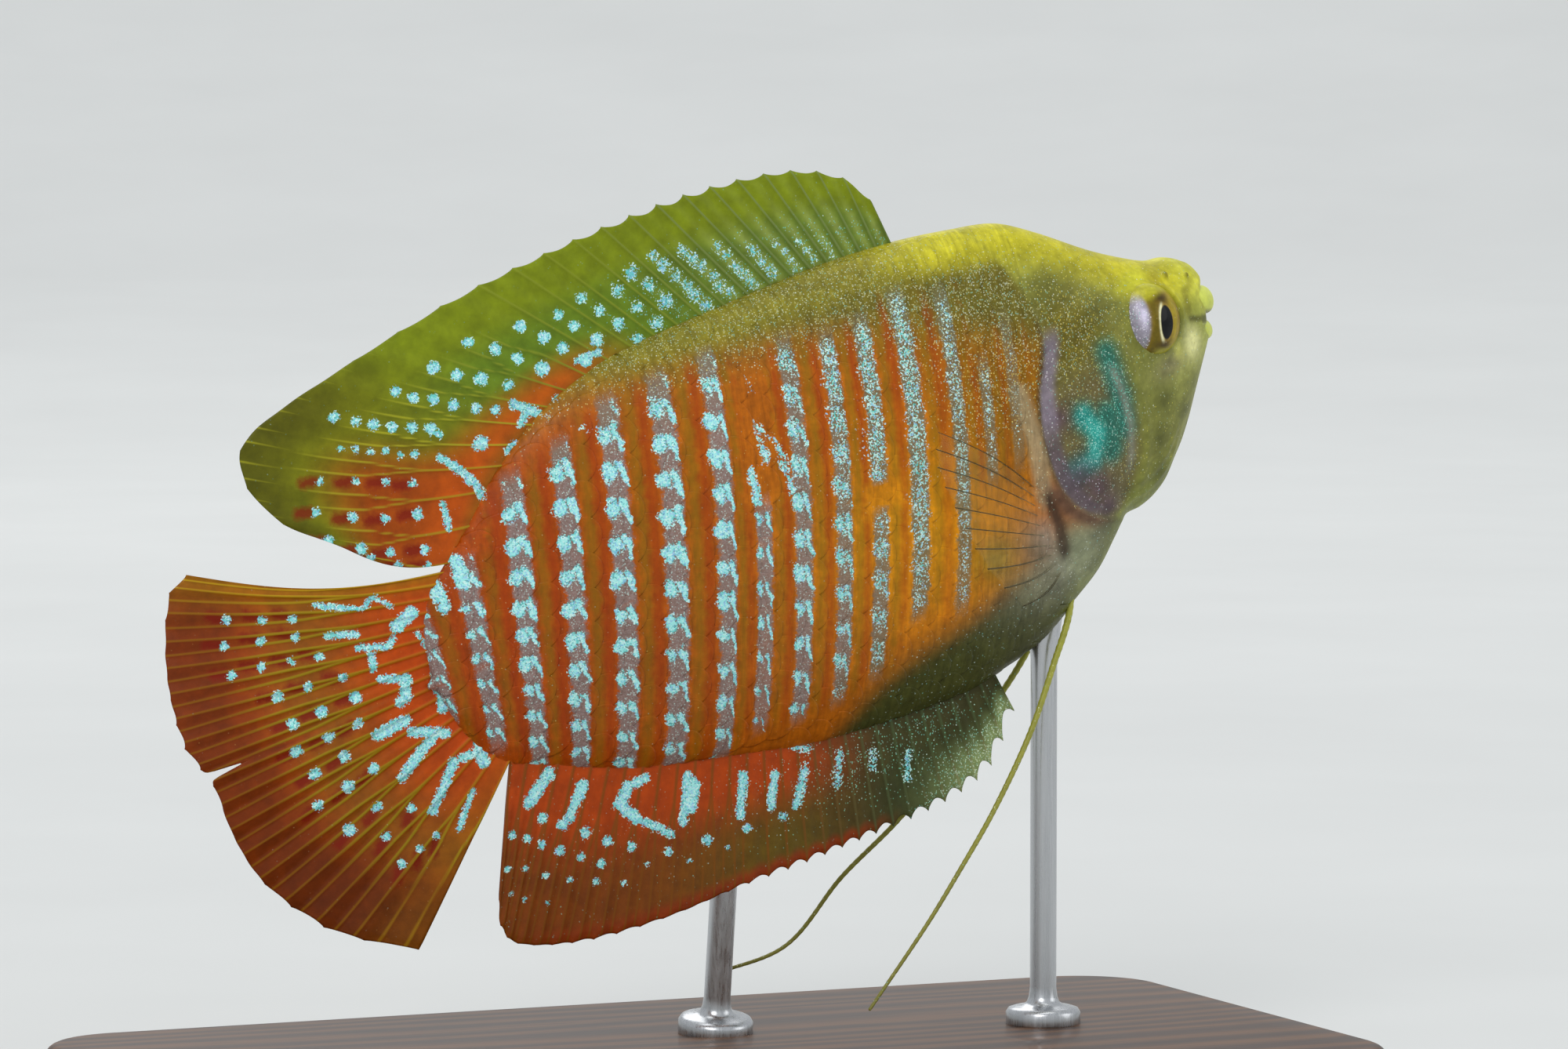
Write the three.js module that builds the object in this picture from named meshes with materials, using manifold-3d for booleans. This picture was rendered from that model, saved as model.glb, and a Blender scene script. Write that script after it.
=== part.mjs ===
// Dwarf gourami, an adult male: a still life-size model held over a flat base by two short rods.
// Millimetres, +Z up, the head towards +X, the origin at the middle of the base's underside.
// The fish is laid out in a frame of its own: s runs from the tip of the snout towards the tail,
// h up towards the back and y towards the fish's left side. place() turns that frame nose up.
import * as THREE from "three";
import { mergeVertices } from "three/addons/utils/BufferGeometryUtils.js";
import Module from "manifold-3d";

const wasm = await Module();
wasm.setup();

// Driving sizes of the pose
const SNOUT_X = 35.6;
const SNOUT_Z = 51.3;
const PITCH = THREE.MathUtils.degToRad(23);
const HEAD_BEND = { from: 16, to: 0, sideways: 1.4 };
const TAIL_BEND = { from: 44, to: 75, sideways: 2.6 };

// Driving sizes of the body: length to the end of the scales, and how finely it is faceted
const BODY_FRONT = 0.5;
const BODY_END = 59;
const BODY_RINGS = 46;
const BODY_SIDES = 30;
const GAP = 0.3;

// Driving sizes of the fins
const MEMBRANE = 0.27; // half the thickness of a fin's skin
const RAY_HEIGHT = 0.24; // how far a ray stands out of that skin at its root
const FIN_ROOT = 1.1; // how far a fin starts inside the body before it is trimmed to it
const CLEAR_OF_BODY = 0.3;

// Driving sizes of the stand
const BASE = { length: 78, width: 42, thickness: 5, corner: 6, edge: 0.6 };
const ROD = { radius: 0.85, foot: 2.4, footHeight: 1.1, pad: 1.15, facets: 16 };

const COLOURS = {
  skin: 0xb0561c,
  head: 0x8f8a34,
  lips: 0xb9b566,
  cheek: 0x2b8f8a,
  dorsal: 0x6d7a18,
  anal: 0x9a3f10,
  caudal: 0xa64410,
  clearFin: 0x8d8a4a,
  thread: 0x8f8d2c,
  eye: 0x3a2c14,
  wood: 0x4a3021,
  steel: 0xb9bcc0,
};

// A smooth line through a few measured stations [position, value], read at any position.
function through(stations) {
  const slope = (i) => {
    const a = stations[Math.max(i - 1, 0)];
    const b = stations[Math.min(i + 1, stations.length - 1)];
    return (b[1] - a[1]) / (b[0] - a[0]);
  };
  return (x) => {
    let i = 0;
    while (i < stations.length - 2 && x > stations[i + 1][0]) i++;
    const [x0, v0] = stations[i];
    const [x1, v1] = stations[i + 1];
    const run = x1 - x0;
    const t = THREE.MathUtils.clamp((x - x0) / run, 0, 1);
    const turn = t * t * (3 - 2 * t);
    const lift = t * (1 - t) * ((1 - t) * slope(i) - t * slope(i + 1)) * run;
    return v0 + (v1 - v0) * turn + lift;
  };
}

// The body's outline and sections along s
const backLine = through([
  [0.5, 0.7], [0.8, 2.5], [1.4, 3.3], [2.5, 4.0], [3.7, 4.3], [5, 5.0], [7.6, 6.8], [10.7, 9.4],
  [13, 11.0], [16, 11.9], [20, 12.8], [25, 13.5], [32, 13.8], [38, 14.0], [42, 13.8], [46, 12.8],
  [50, 10.7], [53, 8.4], [55, 6.9], [57, 5.4], [58.4, 3.1], [59, 0.3],
]);
const bellyLine = through([
  [0.5, 0.5], [1.2, -1.5], [2, -2.5], [3.1, -3.8], [4.3, -5.2], [5.7, -6.7], [8, -8.9], [9.3, -9.6],
  [10.6, -9.9], [11.9, -9.95], [13.3, -10.9], [15.3, -12.3], [17.8, -13.5], [20, -14.6], [22, -15.1],
  [26, -15.6], [30, -15.3], [34, -14.7], [38, -13.9], [42, -12.7], [46, -11.4], [50, -9.9], [53, -8.3],
  [55, -7.3], [57, -5.9], [58.4, -3.4], [59, -0.1],
]);
const halfWidth = through([
  [0.5, 0.6], [1, 1.7], [2, 2.4], [3.5, 3.0], [5, 3.45], [7, 3.85], [9, 4.15], [12, 4.5], [15, 4.75],
  [19, 4.95], [24, 4.95], [30, 4.6], [36, 4.0], [42, 3.2], [48, 2.3], [53, 1.55], [56, 1.1], [59, 0.55],
]);
const widestLevel = through([
  [0.5, 0.6], [3, 1.2], [7, 1.2], [12, 0.2], [18, -1.2], [26, 0], [34, 1], [44, 1.4], [52, 0.5], [59, 0.1],
]);
// Above 1 the section is pinched towards its edge, below 1 it is full.
const backPinch = through([[0.5, 1], [6, 0.95], [14, 1], [20, 1.1], [40, 1.25], [59, 1.3]]);
const bellyPinch = through([[0.5, 1], [6, 1.2], [11, 1.15], [16, 0.9], [22, 1.05], [30, 1.35], [59, 1.4]]);

// How far the fish's middle line is bent to its left at s
function midline(s) {
  const bend = s < HEAD_BEND.from ? HEAD_BEND : TAIL_BEND;
  const share = Math.max((s - bend.from) / (bend.to - bend.from), 0);
  return bend.sideways * share * share;
}

// A point of the fish's own frame as a point of the part
function place(s, h, y) {
  return new THREE.Vector3(
    SNOUT_X - s * Math.cos(PITCH) - h * Math.sin(PITCH),
    y + midline(s),
    SNOUT_Z - s * Math.sin(PITCH) + h * Math.cos(PITCH),
  );
}

// Half the body's width at a point of its side
function sideAt(s, h) {
  const level = widestLevel(s);
  const edge = h > level ? backLine(s) : bellyLine(s);
  const pinch = h > level ? backPinch(s) : bellyPinch(s);
  const up = THREE.MathUtils.clamp((h - level) / (edge - level), 0, 1);
  return halfWidth(s) * Math.pow(1 - up * up, pinch / 2);
}

// Geometry helpers: a geometry as a solid, turned so that its faces point out, and back again
function solid(geometry) {
  const bare = geometry.clone();
  for (const name of ["normal", "uv"]) bare.deleteAttribute(name);
  const merged = mergeVertices(bare, 1e-4);
  const p = merged.attributes.position;
  const triVerts = new Uint32Array(merged.index.array);
  const corner = (k) => new THREE.Vector3().fromBufferAttribute(p, triVerts[k]);
  let volume = 0;
  for (let i = 0; i < triVerts.length; i += 3) {
    volume += corner(i).dot(corner(i + 1).cross(corner(i + 2)));
  }
  if (volume < 0) triVerts.reverse();
  return new wasm.Manifold(
    new wasm.Mesh({ numProp: 3, vertProperties: new Float32Array(p.array), triVerts }),
  );
}

function largest(body) {
  return body.decompose().reduce((a, b) => (b.volume() > a.volume() ? b : a));
}

const model = new THREE.Group();

function addNode(name, body, colour, roughness = 0.45, metalness = 0) {
  const cut = largest(body).getMesh();
  const geometry = new THREE.BufferGeometry();
  geometry.setAttribute("position", new THREE.BufferAttribute(cut.vertProperties, cut.numProp));
  geometry.setIndex(new THREE.BufferAttribute(cut.triVerts, 1));
  geometry.computeVertexNormals();
  const material = new THREE.MeshStandardMaterial({ color: colour, roughness, metalness });
  const mesh = new THREE.Mesh(geometry, material);
  mesh.name = name;
  model.add(mesh);
}

// Moves every point of a geometry by a function of its old place.
function reshape(geometry, move) {
  const p = geometry.attributes.position;
  for (let i = 0; i < p.count; i++) {
    const to = move(p.getX(i), p.getY(i), p.getZ(i));
    p.setXYZ(i, to.x, to.y, to.z);
  }
  return geometry;
}

// A closed form that runs between two poles: ringPoint(t, angle) gives its surface, poles at t 0 and 1.
function poleToPole(sides, rings, ringPoint) {
  return solid(
    reshape(new THREE.SphereGeometry(1, sides, rings), (x, y, z) => {
      const t = Math.acos(THREE.MathUtils.clamp(y, -1, 1)) / Math.PI;
      return ringPoint(t, Math.atan2(z, x));
    }),
  );
}

// The whole body from lips to tail base, as one form grown outwards by a clearance.
function bodyForm(grow, sides = BODY_SIDES, rings = BODY_RINGS) {
  const front = BODY_FRONT - grow;
  const length = BODY_END + grow - front;
  return poleToPole(sides, rings, (t, angle) => {
    const s = front + (length * (1 - Math.cos(Math.PI * t))) / 2;
    const inside = THREE.MathUtils.clamp(s, BODY_FRONT, BODY_END);
    const level = widestLevel(inside);
    if (t < 1e-6 || t > 1 - 1e-6) return place(s, level, 0);
    const up = Math.cos(angle);
    const edge = up > 0 ? backLine(inside) + grow : bellyLine(inside) - grow;
    const pinch = up > 0 ? backPinch(inside) : bellyPinch(inside);
    const across = Math.sin(angle);
    const out = (halfWidth(inside) + grow) * Math.pow(Math.abs(across), pinch);
    return place(s, level + (edge - level) * Math.abs(up), out * Math.sign(across));
  });
}

// An upright block through the body, from an outline of [s, h] corners, between two values of y.
function block(outline, yFrom, yTo) {
  const shape = new THREE.Shape(outline.map(([s, h]) => new THREE.Vector2(s, h)));
  const extruded = new THREE.ExtrudeGeometry(shape, { depth: yTo - yFrom, bevelEnabled: false });
  return solid(reshape(extruded, (s, h, y) => place(s, h, y + yFrom)));
}

function ellipsoid(s, h, y, [alongS, alongH, alongY], turn, sides, rings) {
  return poleToPole(sides, rings, (t, angle) => {
    const round = Math.sin(Math.PI * t);
    const ds = alongS * round * Math.cos(angle);
    const dh = alongH * round * Math.sin(angle);
    const dy = alongY * Math.cos(Math.PI * t);
    return place(
      s + ds * Math.cos(turn) + dy * Math.sin(turn),
      h + dh,
      y - ds * Math.sin(turn) + dy * Math.cos(turn),
    );
  });
}

// A thread with round ends along a path of [s, h, y] points, from share t0 to share t1 of its length.
// The path never runs along the given direction across it, and the thread may be flatter that way.
const END_RINGS = 2;
const ACROSS_FISH = new THREE.Vector3(0, 1, 0);
const UP_FISH = new THREE.Vector3().subVectors(place(0, 1, 0), place(0, 0, 0));

function thread(path, radiusAt, sides, steps, t0 = 0, t1 = 1, across = ACROSS_FISH, flatness = 1) {
  const curve = new THREE.CatmullRomCurve3(path.map(([s, h, y]) => place(s, h, y)), false, "centripetal");
  const end = END_RINGS / steps;
  return poleToPole(sides, steps, (t, angle) => {
    const share = t0 + (t1 - t0) * THREE.MathUtils.clamp((t - end) / (1 - 2 * end), 0, 1);
    const beyond = (Math.max((t - 1 + end) / end, 0) - Math.max((end - t) / end, 0)) * (Math.PI / 2);
    const ahead = curve.getTangentAt(share);
    const out = across.clone().cross(ahead).normalize();
    const side = ahead.clone().cross(out);
    const r = radiusAt(share);
    const ring = r * Math.cos(beyond);
    return curve
      .getPointAt(share)
      .addScaledVector(ahead, r * Math.sin(beyond))
      .addScaledVector(out, ring * flatness * Math.cos(angle))
      .addScaledVector(side, ring * Math.sin(angle));
  });
}

// A thin closed sheet: both faces are split into triangles alike and joined round their rim.
function sheet(columns, rows, pointAt) {
  const flat = new THREE.PlaneGeometry(1, 1, columns, rows);
  const uv = flat.attributes.uv;
  const faceSize = uv.count;
  const positions = [];
  for (const side of [1, -1]) {
    for (let i = 0; i < faceSize; i++) {
      positions.push(...pointAt(Math.round(uv.getX(i) * columns), uv.getY(i), side).toArray());
    }
  }
  const front = Array.from(flat.index.array);
  const back = front.map((i) => i + faceSize).reverse();
  const wide = columns + 1;
  const rim = [];
  for (let row = 0; row < rows; row++) rim.push(row * wide);
  for (let column = 0; column < columns; column++) rim.push(rows * wide + column);
  for (let row = rows; row > 0; row--) rim.push(row * wide + columns);
  for (let column = columns; column > 0; column--) rim.push(column);
  const edge = rim.flatMap((p, i) => {
    const q = rim[(i + 1) % rim.length];
    return [q, p, p + faceSize, q, p + faceSize, q + faceSize];
  });
  const geometry = new THREE.BufferGeometry();
  geometry.setAttribute("position", new THREE.Float32BufferAttribute(positions, 3));
  geometry.setIndex([...front, ...back, ...edge]);
  return solid(geometry);
}

// A fin between its root line and its margin. Both are given at each ray's number, and the rays stand
// out of the skin on both faces. A spine is one ridge to a free tip; a soft ray forks at half its length.
function rayRelief(slot, reach, forks) {
  const fade = 1 - 0.45 * reach;
  if (!forks) return slot === 0 ? fade : 0;
  const forked = THREE.MathUtils.smoothstep(reach, 0.4, 0.7);
  if (slot === 0) return fade * (1 - forked);
  return slot === 2 ? 0 : fade * forked;
}

function raySpread(slot, reach, forks) {
  if (!forks) return [0, 0.24, 0.76][slot];
  const arm = 0.16 + 0.12 * reach;
  return [0, arm, 0.5, 1 - arm][slot];
}

function fin({ first, last, gaps, forks, rootAt, marginAt, notchAt, bowAt, swayAt, rows }) {
  const slots = forks ? 4 : 3;
  return sheet(gaps * slots, rows, (column, reach, side) => {
    const slot = column % slots;
    const passed = Math.floor(column / slots) + raySpread(slot, reach, forks);
    const ray = first + ((last - first) * passed) / gaps;
    const [rootS, rootH, rootY] = rootAt(ray);
    const [marginS, marginH, marginY] = marginAt(ray);
    const notch = notchAt(ray) * (forks ? [0.3, 0, 1, 0][slot] : [0, 1, 1][slot]);
    const along = reach * (1 - notch);
    const bow = bowAt(ray) * Math.sin(Math.PI * reach);
    const ds = marginS - rootS;
    const dh = marginH - rootH;
    const span = Math.hypot(ds, dh);
    const s = rootS + ds * along - (dh / span) * bow;
    const h = rootH + dh * along + (ds / span) * bow;
    const y = rootY + (marginY - rootY) * along + swayAt(ray, reach);
    const half = MEMBRANE * (1 - 0.1 * reach) + RAY_HEIGHT * rayRelief(slot, reach, forks);
    return place(s, h, y + side * half);
  });
}

const bodyWhole = bodyForm(0);
const bodyClear = bodyForm(CLEAR_OF_BODY);

// The gill slit, where the head ends, from the nape to the throat
const GILL_SLIT = [
  [16.2, 14], [14.6, 8], [14.4, 4.6], [15.0, 2.9], [16.3, 0.8], [17.1, -1.6], [17.3, -3.6],
  [17.1, -5.4], [16.2, -7.2], [14.8, -8.5], [13.0, -9.5], [12.0, -10.2], [11.6, -12],
];
// The trunk's other seams, straight across
const TRUNK_SEAMS = [30, 42, 51];
const FAR = 20;

function shifted(line, by) {
  return line.map(([s, h]) => [s + by, h]);
}

function straightSeam(s) {
  return [[s, FAR], [s, -FAR]];
}

function lengthBetween(front, rear) {
  const outline = [...shifted(front, GAP / 2), ...shifted(rear, -GAP / 2).reverse()];
  return bodyWhole.intersect(block(outline, -FAR, FAR));
}

// Eyes, nostrils and lips
const EYE = { s: 6.5, h: 1.45, y: 2.75, radii: [2.35, 2.4, 1.95], turn: 0.3, sides: 18, rings: 10 };
const NOSTRILS = [
  { s: 2.6, h: 2.9, radius: 0.36 },
  { s: 4.0, h: 3.3, radius: 0.42 },
];
const UPPER_LIP = [[3.0, 1.0, 2.0], [1.9, 0.8, 1.6], [1.1, 0.6, 0.8], [0.9, 0.55, 0]];
const LOWER_LIP = [[3.1, -0.35, 2.0], [2.2, -0.95, 1.55], [1.65, -1.35, 0.75], [1.5, -1.45, 0]];
const LIP_SIDES = 10;
const LIP_STEPS = 18;
const LIP_FLATNESS = 0.8;

function lip(side, middleRadius, cornerRadius, grow) {
  const left = side.map(([s, h, y]) => [s, h, -y]);
  const right = side.slice(0, -1).reverse();
  const radiusAt = (t) => cornerRadius + (middleRadius - cornerRadius) * Math.sin(Math.PI * t) + grow;
  return thread([...left, ...right], radiusAt, LIP_SIDES, LIP_STEPS, 0, 1, UP_FISH, LIP_FLATNESS);
}

const upperLip = (grow) => lip(UPPER_LIP, 0.9, 0.42, grow);
const lowerLip = (grow) => lip(LOWER_LIP, 0.72, 0.38, grow);

function eyeForm(hand, grow, sides, rings) {
  const radii = EYE.radii.map((r) => r + grow);
  return ellipsoid(EYE.s, EYE.h, hand * EYE.y, radii, -hand * EYE.turn, sides, rings);
}

// Each gill cover is a plate that stands a little proud of the cheek and ends at the gill slit.
const COVER_FRONT = [
  [13.2, 4.2], [11.2, 3.4], [10, 1.6], [9.6, -1.5], [9.8, -4.4], [10.6, -6.9], [12, -8.8], [13.2, -9.5],
];
const COVER_PROUD = 0.22;
const COVER_THICK = 0.9;
const COVER_BED_MESH = [16, 26]; // sides and rings of the plain faces hidden under the covers

function coverBlock(hand, grow) {
  const front = COVER_FRONT.map(([s, h]) => [s - grow, h + (h > 0 ? grow : 0)]);
  const outline = [[19, 4.2 + grow], ...front, [19, -9.5 - grow]];
  return block(outline, hand > 0 ? 1.2 : -FAR, hand > 0 ? FAR : -1.2);
}

const headPart = block([[-5, FAR], ...shifted(GILL_SLIT, -GAP / 2), [-5, -FAR]], -FAR, FAR);
let head = bodyWhole.intersect(headPart);
const coverCore = bodyForm(-COVER_THICK, ...COVER_BED_MESH);
const coverBed = bodyForm(-COVER_THICK - GAP, ...COVER_BED_MESH);
for (const [name, hand] of [["right", -1], ["left", 1]]) {
  const cover = bodyForm(COVER_PROUD).intersect(coverBlock(hand, 0)).intersect(headPart).subtract(coverCore);
  addNode("gill_cover_" + name, cover, COLOURS.cheek);
  head = head.subtract(coverBlock(hand, GAP).subtract(coverBed));
  head = head.subtract(eyeForm(hand, GAP, EYE.sides, EYE.rings));
  for (const { s, h, radius } of NOSTRILS) {
    head = head.subtract(ellipsoid(s, h, hand * sideAt(s, h), [radius, radius, 0.5], 0, 8, 6));
  }
  addNode("eye_" + name, eyeForm(hand, 0, EYE.sides, EYE.rings), COLOURS.eye, 0.1);
}
head = head.subtract(upperLip(GAP)).subtract(lowerLip(GAP));
addNode("head", head, COLOURS.head);
addNode("upper_jaw", upperLip(0), COLOURS.lips);
addNode("lower_jaw", lowerLip(0), COLOURS.lips);

// The trunk in lengths, and the tail stalk
const seams = [GILL_SLIT, ...TRUNK_SEAMS.map(straightSeam), straightSeam(BODY_END + 5)];
["trunk_front", "trunk_middle", "trunk_rear", "tail_stalk"].forEach((name, i) => {
  addNode(name, lengthBetween(seams[i], seams[i + 1]), COLOURS.skin);
});

// A fin's root or margin from [ray number, s, h] stations
function stationLine(stations) {
  const s = through(stations.map(([ray, at]) => [ray, at]));
  const h = through(stations.map(([ray, , at]) => [ray, at]));
  return (ray) => [s(ray), h(ray), 0];
}

// The dorsal fin: sixteen spines, then eight soft rays that stream back into a lobe
const DORSAL = { last: 23, splitAt: 15 };
const PARTED = 0.24; // the gap between a fin's two nodes, as a share of the space between rays
const dorsalRoot = through([
  [0, 20.1], [6, 26.8], [10, 33.3], [13, 38.2], [15, 41.6], [17, 44.5], [19, 47.3], [21, 50.2], [23, 54.2],
]);
const dorsalMargin = stationLine([
  [0, 20.4, 15.9], [1, 21.5, 17.9], [3, 24.6, 19.8], [6, 30.2, 21.1], [10, 38, 21.8], [13, 44.2, 21.7],
  [15, 49.4, 21.4], [17, 56, 20.7], [19, 62.5, 19.7], [20, 64.8, 18.6], [21, 65.2, 16.2], [22, 63.9, 13.2],
  [23, 61.2, 10.6],
]);
const dorsal = {
  rootAt: (ray) => {
    const s = dorsalRoot(ray);
    return [s, backLine(s) - FIN_ROOT, 0];
  },
  marginAt: dorsalMargin,
  notchAt: (ray) => (ray < DORSAL.splitAt ? 0.06 : 0.025),
  bowAt: (ray) => -0.9 * THREE.MathUtils.smoothstep(ray, 14, 22),
  swayAt: (ray, reach) => 0.35 * reach * reach * Math.sin(0.55 * ray),
  rows: 4,
};
const dorsalSpiny = fin({ ...dorsal, first: 0, last: DORSAL.splitAt, gaps: 15, forks: false });
const dorsalSoft = fin({ ...dorsal, first: DORSAL.splitAt + PARTED, last: DORSAL.last, gaps: 8, forks: true });

// The anal fin: seventeen spines with free tips, then fourteen soft rays
const ANAL = { last: 30, splitAt: 16 };
const analRoot = through([[0, 24.3], [16, 41.4], [24, 50.1], [30, 55.9]]);
const analMargin = stationLine([
  [0, 23.9, -18.2], [1, 25.4, -19.6], [2, 26.8, -20.7], [4, 29.4, -21.4], [8, 34.4, -21.4], [12, 39.4, -21.1],
  [16, 45, -20.3], [20, 51.1, -19.9], [24, 57, -18.8], [27, 60.3, -17.3], [29, 60.9, -15.6], [30, 60.4, -14],
]);
const anal = {
  rootAt: (ray) => {
    const s = analRoot(ray);
    return [s, bellyLine(s) + FIN_ROOT, 0];
  },
  marginAt: analMargin,
  notchAt: (ray) => (ray < ANAL.splitAt ? 0.06 + 0.16 * Math.exp(-ray / 3) : 0.025),
  bowAt: () => 0,
  swayAt: (ray, reach) => -0.3 * reach * reach * (0.6 + Math.sin(0.45 * ray)),
  rows: 3,
};
const analSpiny = fin({ ...anal, first: 0, last: ANAL.splitAt, gaps: 16, forks: false });
const analSoft = fin({ ...anal, first: ANAL.splitAt + PARTED, last: ANAL.last, gaps: 14, forks: true });

// The tail fin: nine forked rays above the split in its edge and nine below
const CAUDAL = { last: 17, notch: 8.5, parted: 0.46 };
const caudalMargin = stationLine([
  [0, 70.4, 12.7], [1, 71.8, 12.1], [3, 73.5, 9.1], [5, 74.5, 6.1], [7, 74.8, 3], [8, 74.4, 1.4], [9, 74.1, 0.1],
  [11, 74.1, -3.4], [13, 73.3, -7.1], [15, 70.9, -11.1], [16, 69, -12.9], [17, 66.2, -14.9],
]);
const caudal = {
  rootAt: (ray) => {
    const h = 6.2 - (11.8 * ray) / CAUDAL.last;
    return [58.2 - FIN_ROOT - 0.07 * h * h - 0.05 * h, h * 0.96, 0];
  },
  marginAt: caudalMargin,
  forks: true,
  notchAt: (ray) => 0.02 + 0.05 * Math.exp(-4 * Math.pow(ray - CAUDAL.notch, 2)),
  bowAt: (ray) => -1.1 * Math.exp(-ray / 2.5),
  swayAt: (ray, reach) => 0.5 * reach * reach * Math.sin(0.5 * ray + 1),
  rows: 5,
};
const caudalUpper = fin({ ...caudal, first: 0, last: CAUDAL.notch - CAUDAL.parted / 2, gaps: 8 });
const caudalLower = fin({ ...caudal, first: CAUDAL.notch + CAUDAL.parted / 2, last: CAUDAL.last, gaps: 8 });

// The pectoral fins: clear fans of ten rays that stand off the flanks
const PECTORAL = { last: 9, off: 0.7 };
const pectoralRoot = through([[0, -6.2], [9, -10.2]]);
const pectoralMargin = stationLine([
  [0, 24.8, 2.2], [2, 25.7, 0.2], [5, 25.3, -4.2], [7, 24.6, -7.4], [9, 23, -10.8],
]);
const pectoralFlare = through([[0, 7.4], [5, 6.9], [9, 5.6]]);

function pectoral(hand) {
  return fin({
    first: 0,
    last: PECTORAL.last,
    gaps: PECTORAL.last,
    rootAt: (ray) => {
      const h = pectoralRoot(ray);
      const s = 17.9 + 0.02 * ray;
      return [s, h, hand * (sideAt(s, h) - PECTORAL.off)];
    },
    marginAt: (ray) => {
      const [s, h] = pectoralMargin(ray);
      return [s, h, hand * pectoralFlare(ray)];
    },
    forks: false,
    notchAt: () => 0.03,
    bowAt: (ray) => 0.5 - 0.1 * ray,
    swayAt: (ray, reach) => hand * 0.35 * Math.sin(Math.PI * reach),
    rows: 3,
  });
}

for (const [name, body, colour] of [
  ["dorsal_fin_spiny", dorsalSpiny, COLOURS.dorsal],
  ["dorsal_fin_soft", dorsalSoft, COLOURS.dorsal],
  ["anal_fin_spiny", analSpiny, COLOURS.anal],
  ["anal_fin_soft", analSoft, COLOURS.anal],
  ["caudal_fin_upper", caudalUpper, COLOURS.caudal],
  ["caudal_fin_lower", caudalLower, COLOURS.caudal],
  ["pectoral_fin_right", pectoral(-1), COLOURS.clearFin],
  ["pectoral_fin_left", pectoral(1), COLOURS.clearFin],
]) {
  addNode(name, body.subtract(bodyClear), colour);
}

// The pelvic fins: each is one long thread that trails back under the fish, in two lengths
const THREADS = {
  right: [
    [17.4, -12.2, -1.1], [18.8, -13.9, -1.8], [20.8, -15.8, -2.2], [24.5, -19.1, -3], [29.1, -22.3, -3.9],
    [33.3, -24.7, -4.7], [36.8, -26.7, -5.1], [42.6, -29.5, -6],
  ],
  left: [
    [17.4, -12.2, 1.1], [18.6, -13.9, 1.7], [22.4, -17, 2.4], [27.5, -19.8, 3], [32.8, -22.3, 3.6],
    [37.2, -24.2, 4.7], [42, -26.9, 5.9], [47, -26.7, 7],
  ],
};
const THREAD_RADII = { root: 0.32, tip: 0.2 };
const THREAD_PARTING = { share: 0.5, gap: 0.025 };

for (const [name, path] of Object.entries(THREADS)) {
  const radiusAt = (t) => THREE.MathUtils.lerp(THREAD_RADII.root, THREAD_RADII.tip, t);
  const { share, gap } = THREAD_PARTING;
  const rootLength = thread(path, radiusAt, 6, 14, 0, share);
  const tipLength = thread(path, radiusAt, 6, 12, share + gap, 1);
  addNode("pelvic_thread_" + name + "_root", rootLength.subtract(bodyClear), COLOURS.thread);
  addNode("pelvic_thread_" + name + "_tip", tipLength, COLOURS.thread);
}

// The stand: a flat base with rounded corners and two rods, each trimmed to the body it holds
function standBase() {
  const { length, width, thickness, corner, edge } = BASE;
  const x = length / 2 - edge;
  const y = width / 2 - edge;
  const shape = new THREE.Shape();
  shape.absarc(x - corner, y - corner, corner, 0, Math.PI / 2);
  shape.absarc(corner - x, y - corner, corner, Math.PI / 2, Math.PI);
  shape.absarc(corner - x, corner - y, corner, Math.PI, 1.5 * Math.PI);
  shape.absarc(x - corner, corner - y, corner, 1.5 * Math.PI, 2 * Math.PI);
  shape.closePath();
  const geometry = new THREE.ExtrudeGeometry(shape, {
    depth: thickness - 2 * edge,
    curveSegments: 6,
    bevelThickness: edge,
    bevelSize: edge,
    bevelSegments: 1,
  });
  return geometry.translate(0, 0, edge);
}

const ROD_SUNK = 1; // how far a rod starts below the base's top before it is trimmed to it

function standRod(foot, top) {
  const along = new THREE.Vector3().subVectors(top, foot);
  const tall = along.length();
  const profile = [
    [0, 0], [ROD.foot, 0], [ROD.foot, ROD_SUNK + ROD.footHeight], [ROD.radius, ROD_SUNK + ROD.footHeight + 0.7],
    [ROD.radius, tall - 4], [ROD.pad, tall], [0, tall],
  ].map(([r, z]) => new THREE.Vector2(r, z));
  const upright = new THREE.LatheGeometry(profile, ROD.facets);
  const lean = new THREE.Quaternion().setFromUnitVectors(new THREE.Vector3(0, 1, 0), along.normalize());
  return solid(upright.applyQuaternion(lean).translate(foot.x, foot.y, foot.z));
}

const aboveBase = solid(new THREE.BoxGeometry(200, 200, 100).translate(0, 0, BASE.thickness + GAP + 50));
const ROD_ENDS = {
  front: [new THREE.Vector3(22.9, 0, BASE.thickness - ROD_SUNK), new THREE.Vector3(22.9, 0, 33)],
  rear: [new THREE.Vector3(2, 4.7, BASE.thickness - ROD_SUNK), new THREE.Vector3(2, 1.2, 29)],
};
addNode("stand_base", solid(standBase()), COLOURS.wood, 0.5);
for (const [name, [foot, top]] of Object.entries(ROD_ENDS)) {
  const rod = standRod(foot, top).intersect(aboveBase).subtract(bodyClear);
  addNode("stand_rod_" + name, rod, COLOURS.steel, 0.3, 1);
}

export default model;
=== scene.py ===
"""Dwarf gourami, an adult male: the looks of a life-size museum model on its display stand.

The fish is laid out in a frame of its own, in millimetres: s runs from the tip of the snout towards
the tail, h up towards the back and y towards the fish's left. place() turns that frame nose up and
into metres. A side is named by its hand, 1 for the fish's left and -1 for its right.
"""

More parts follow.
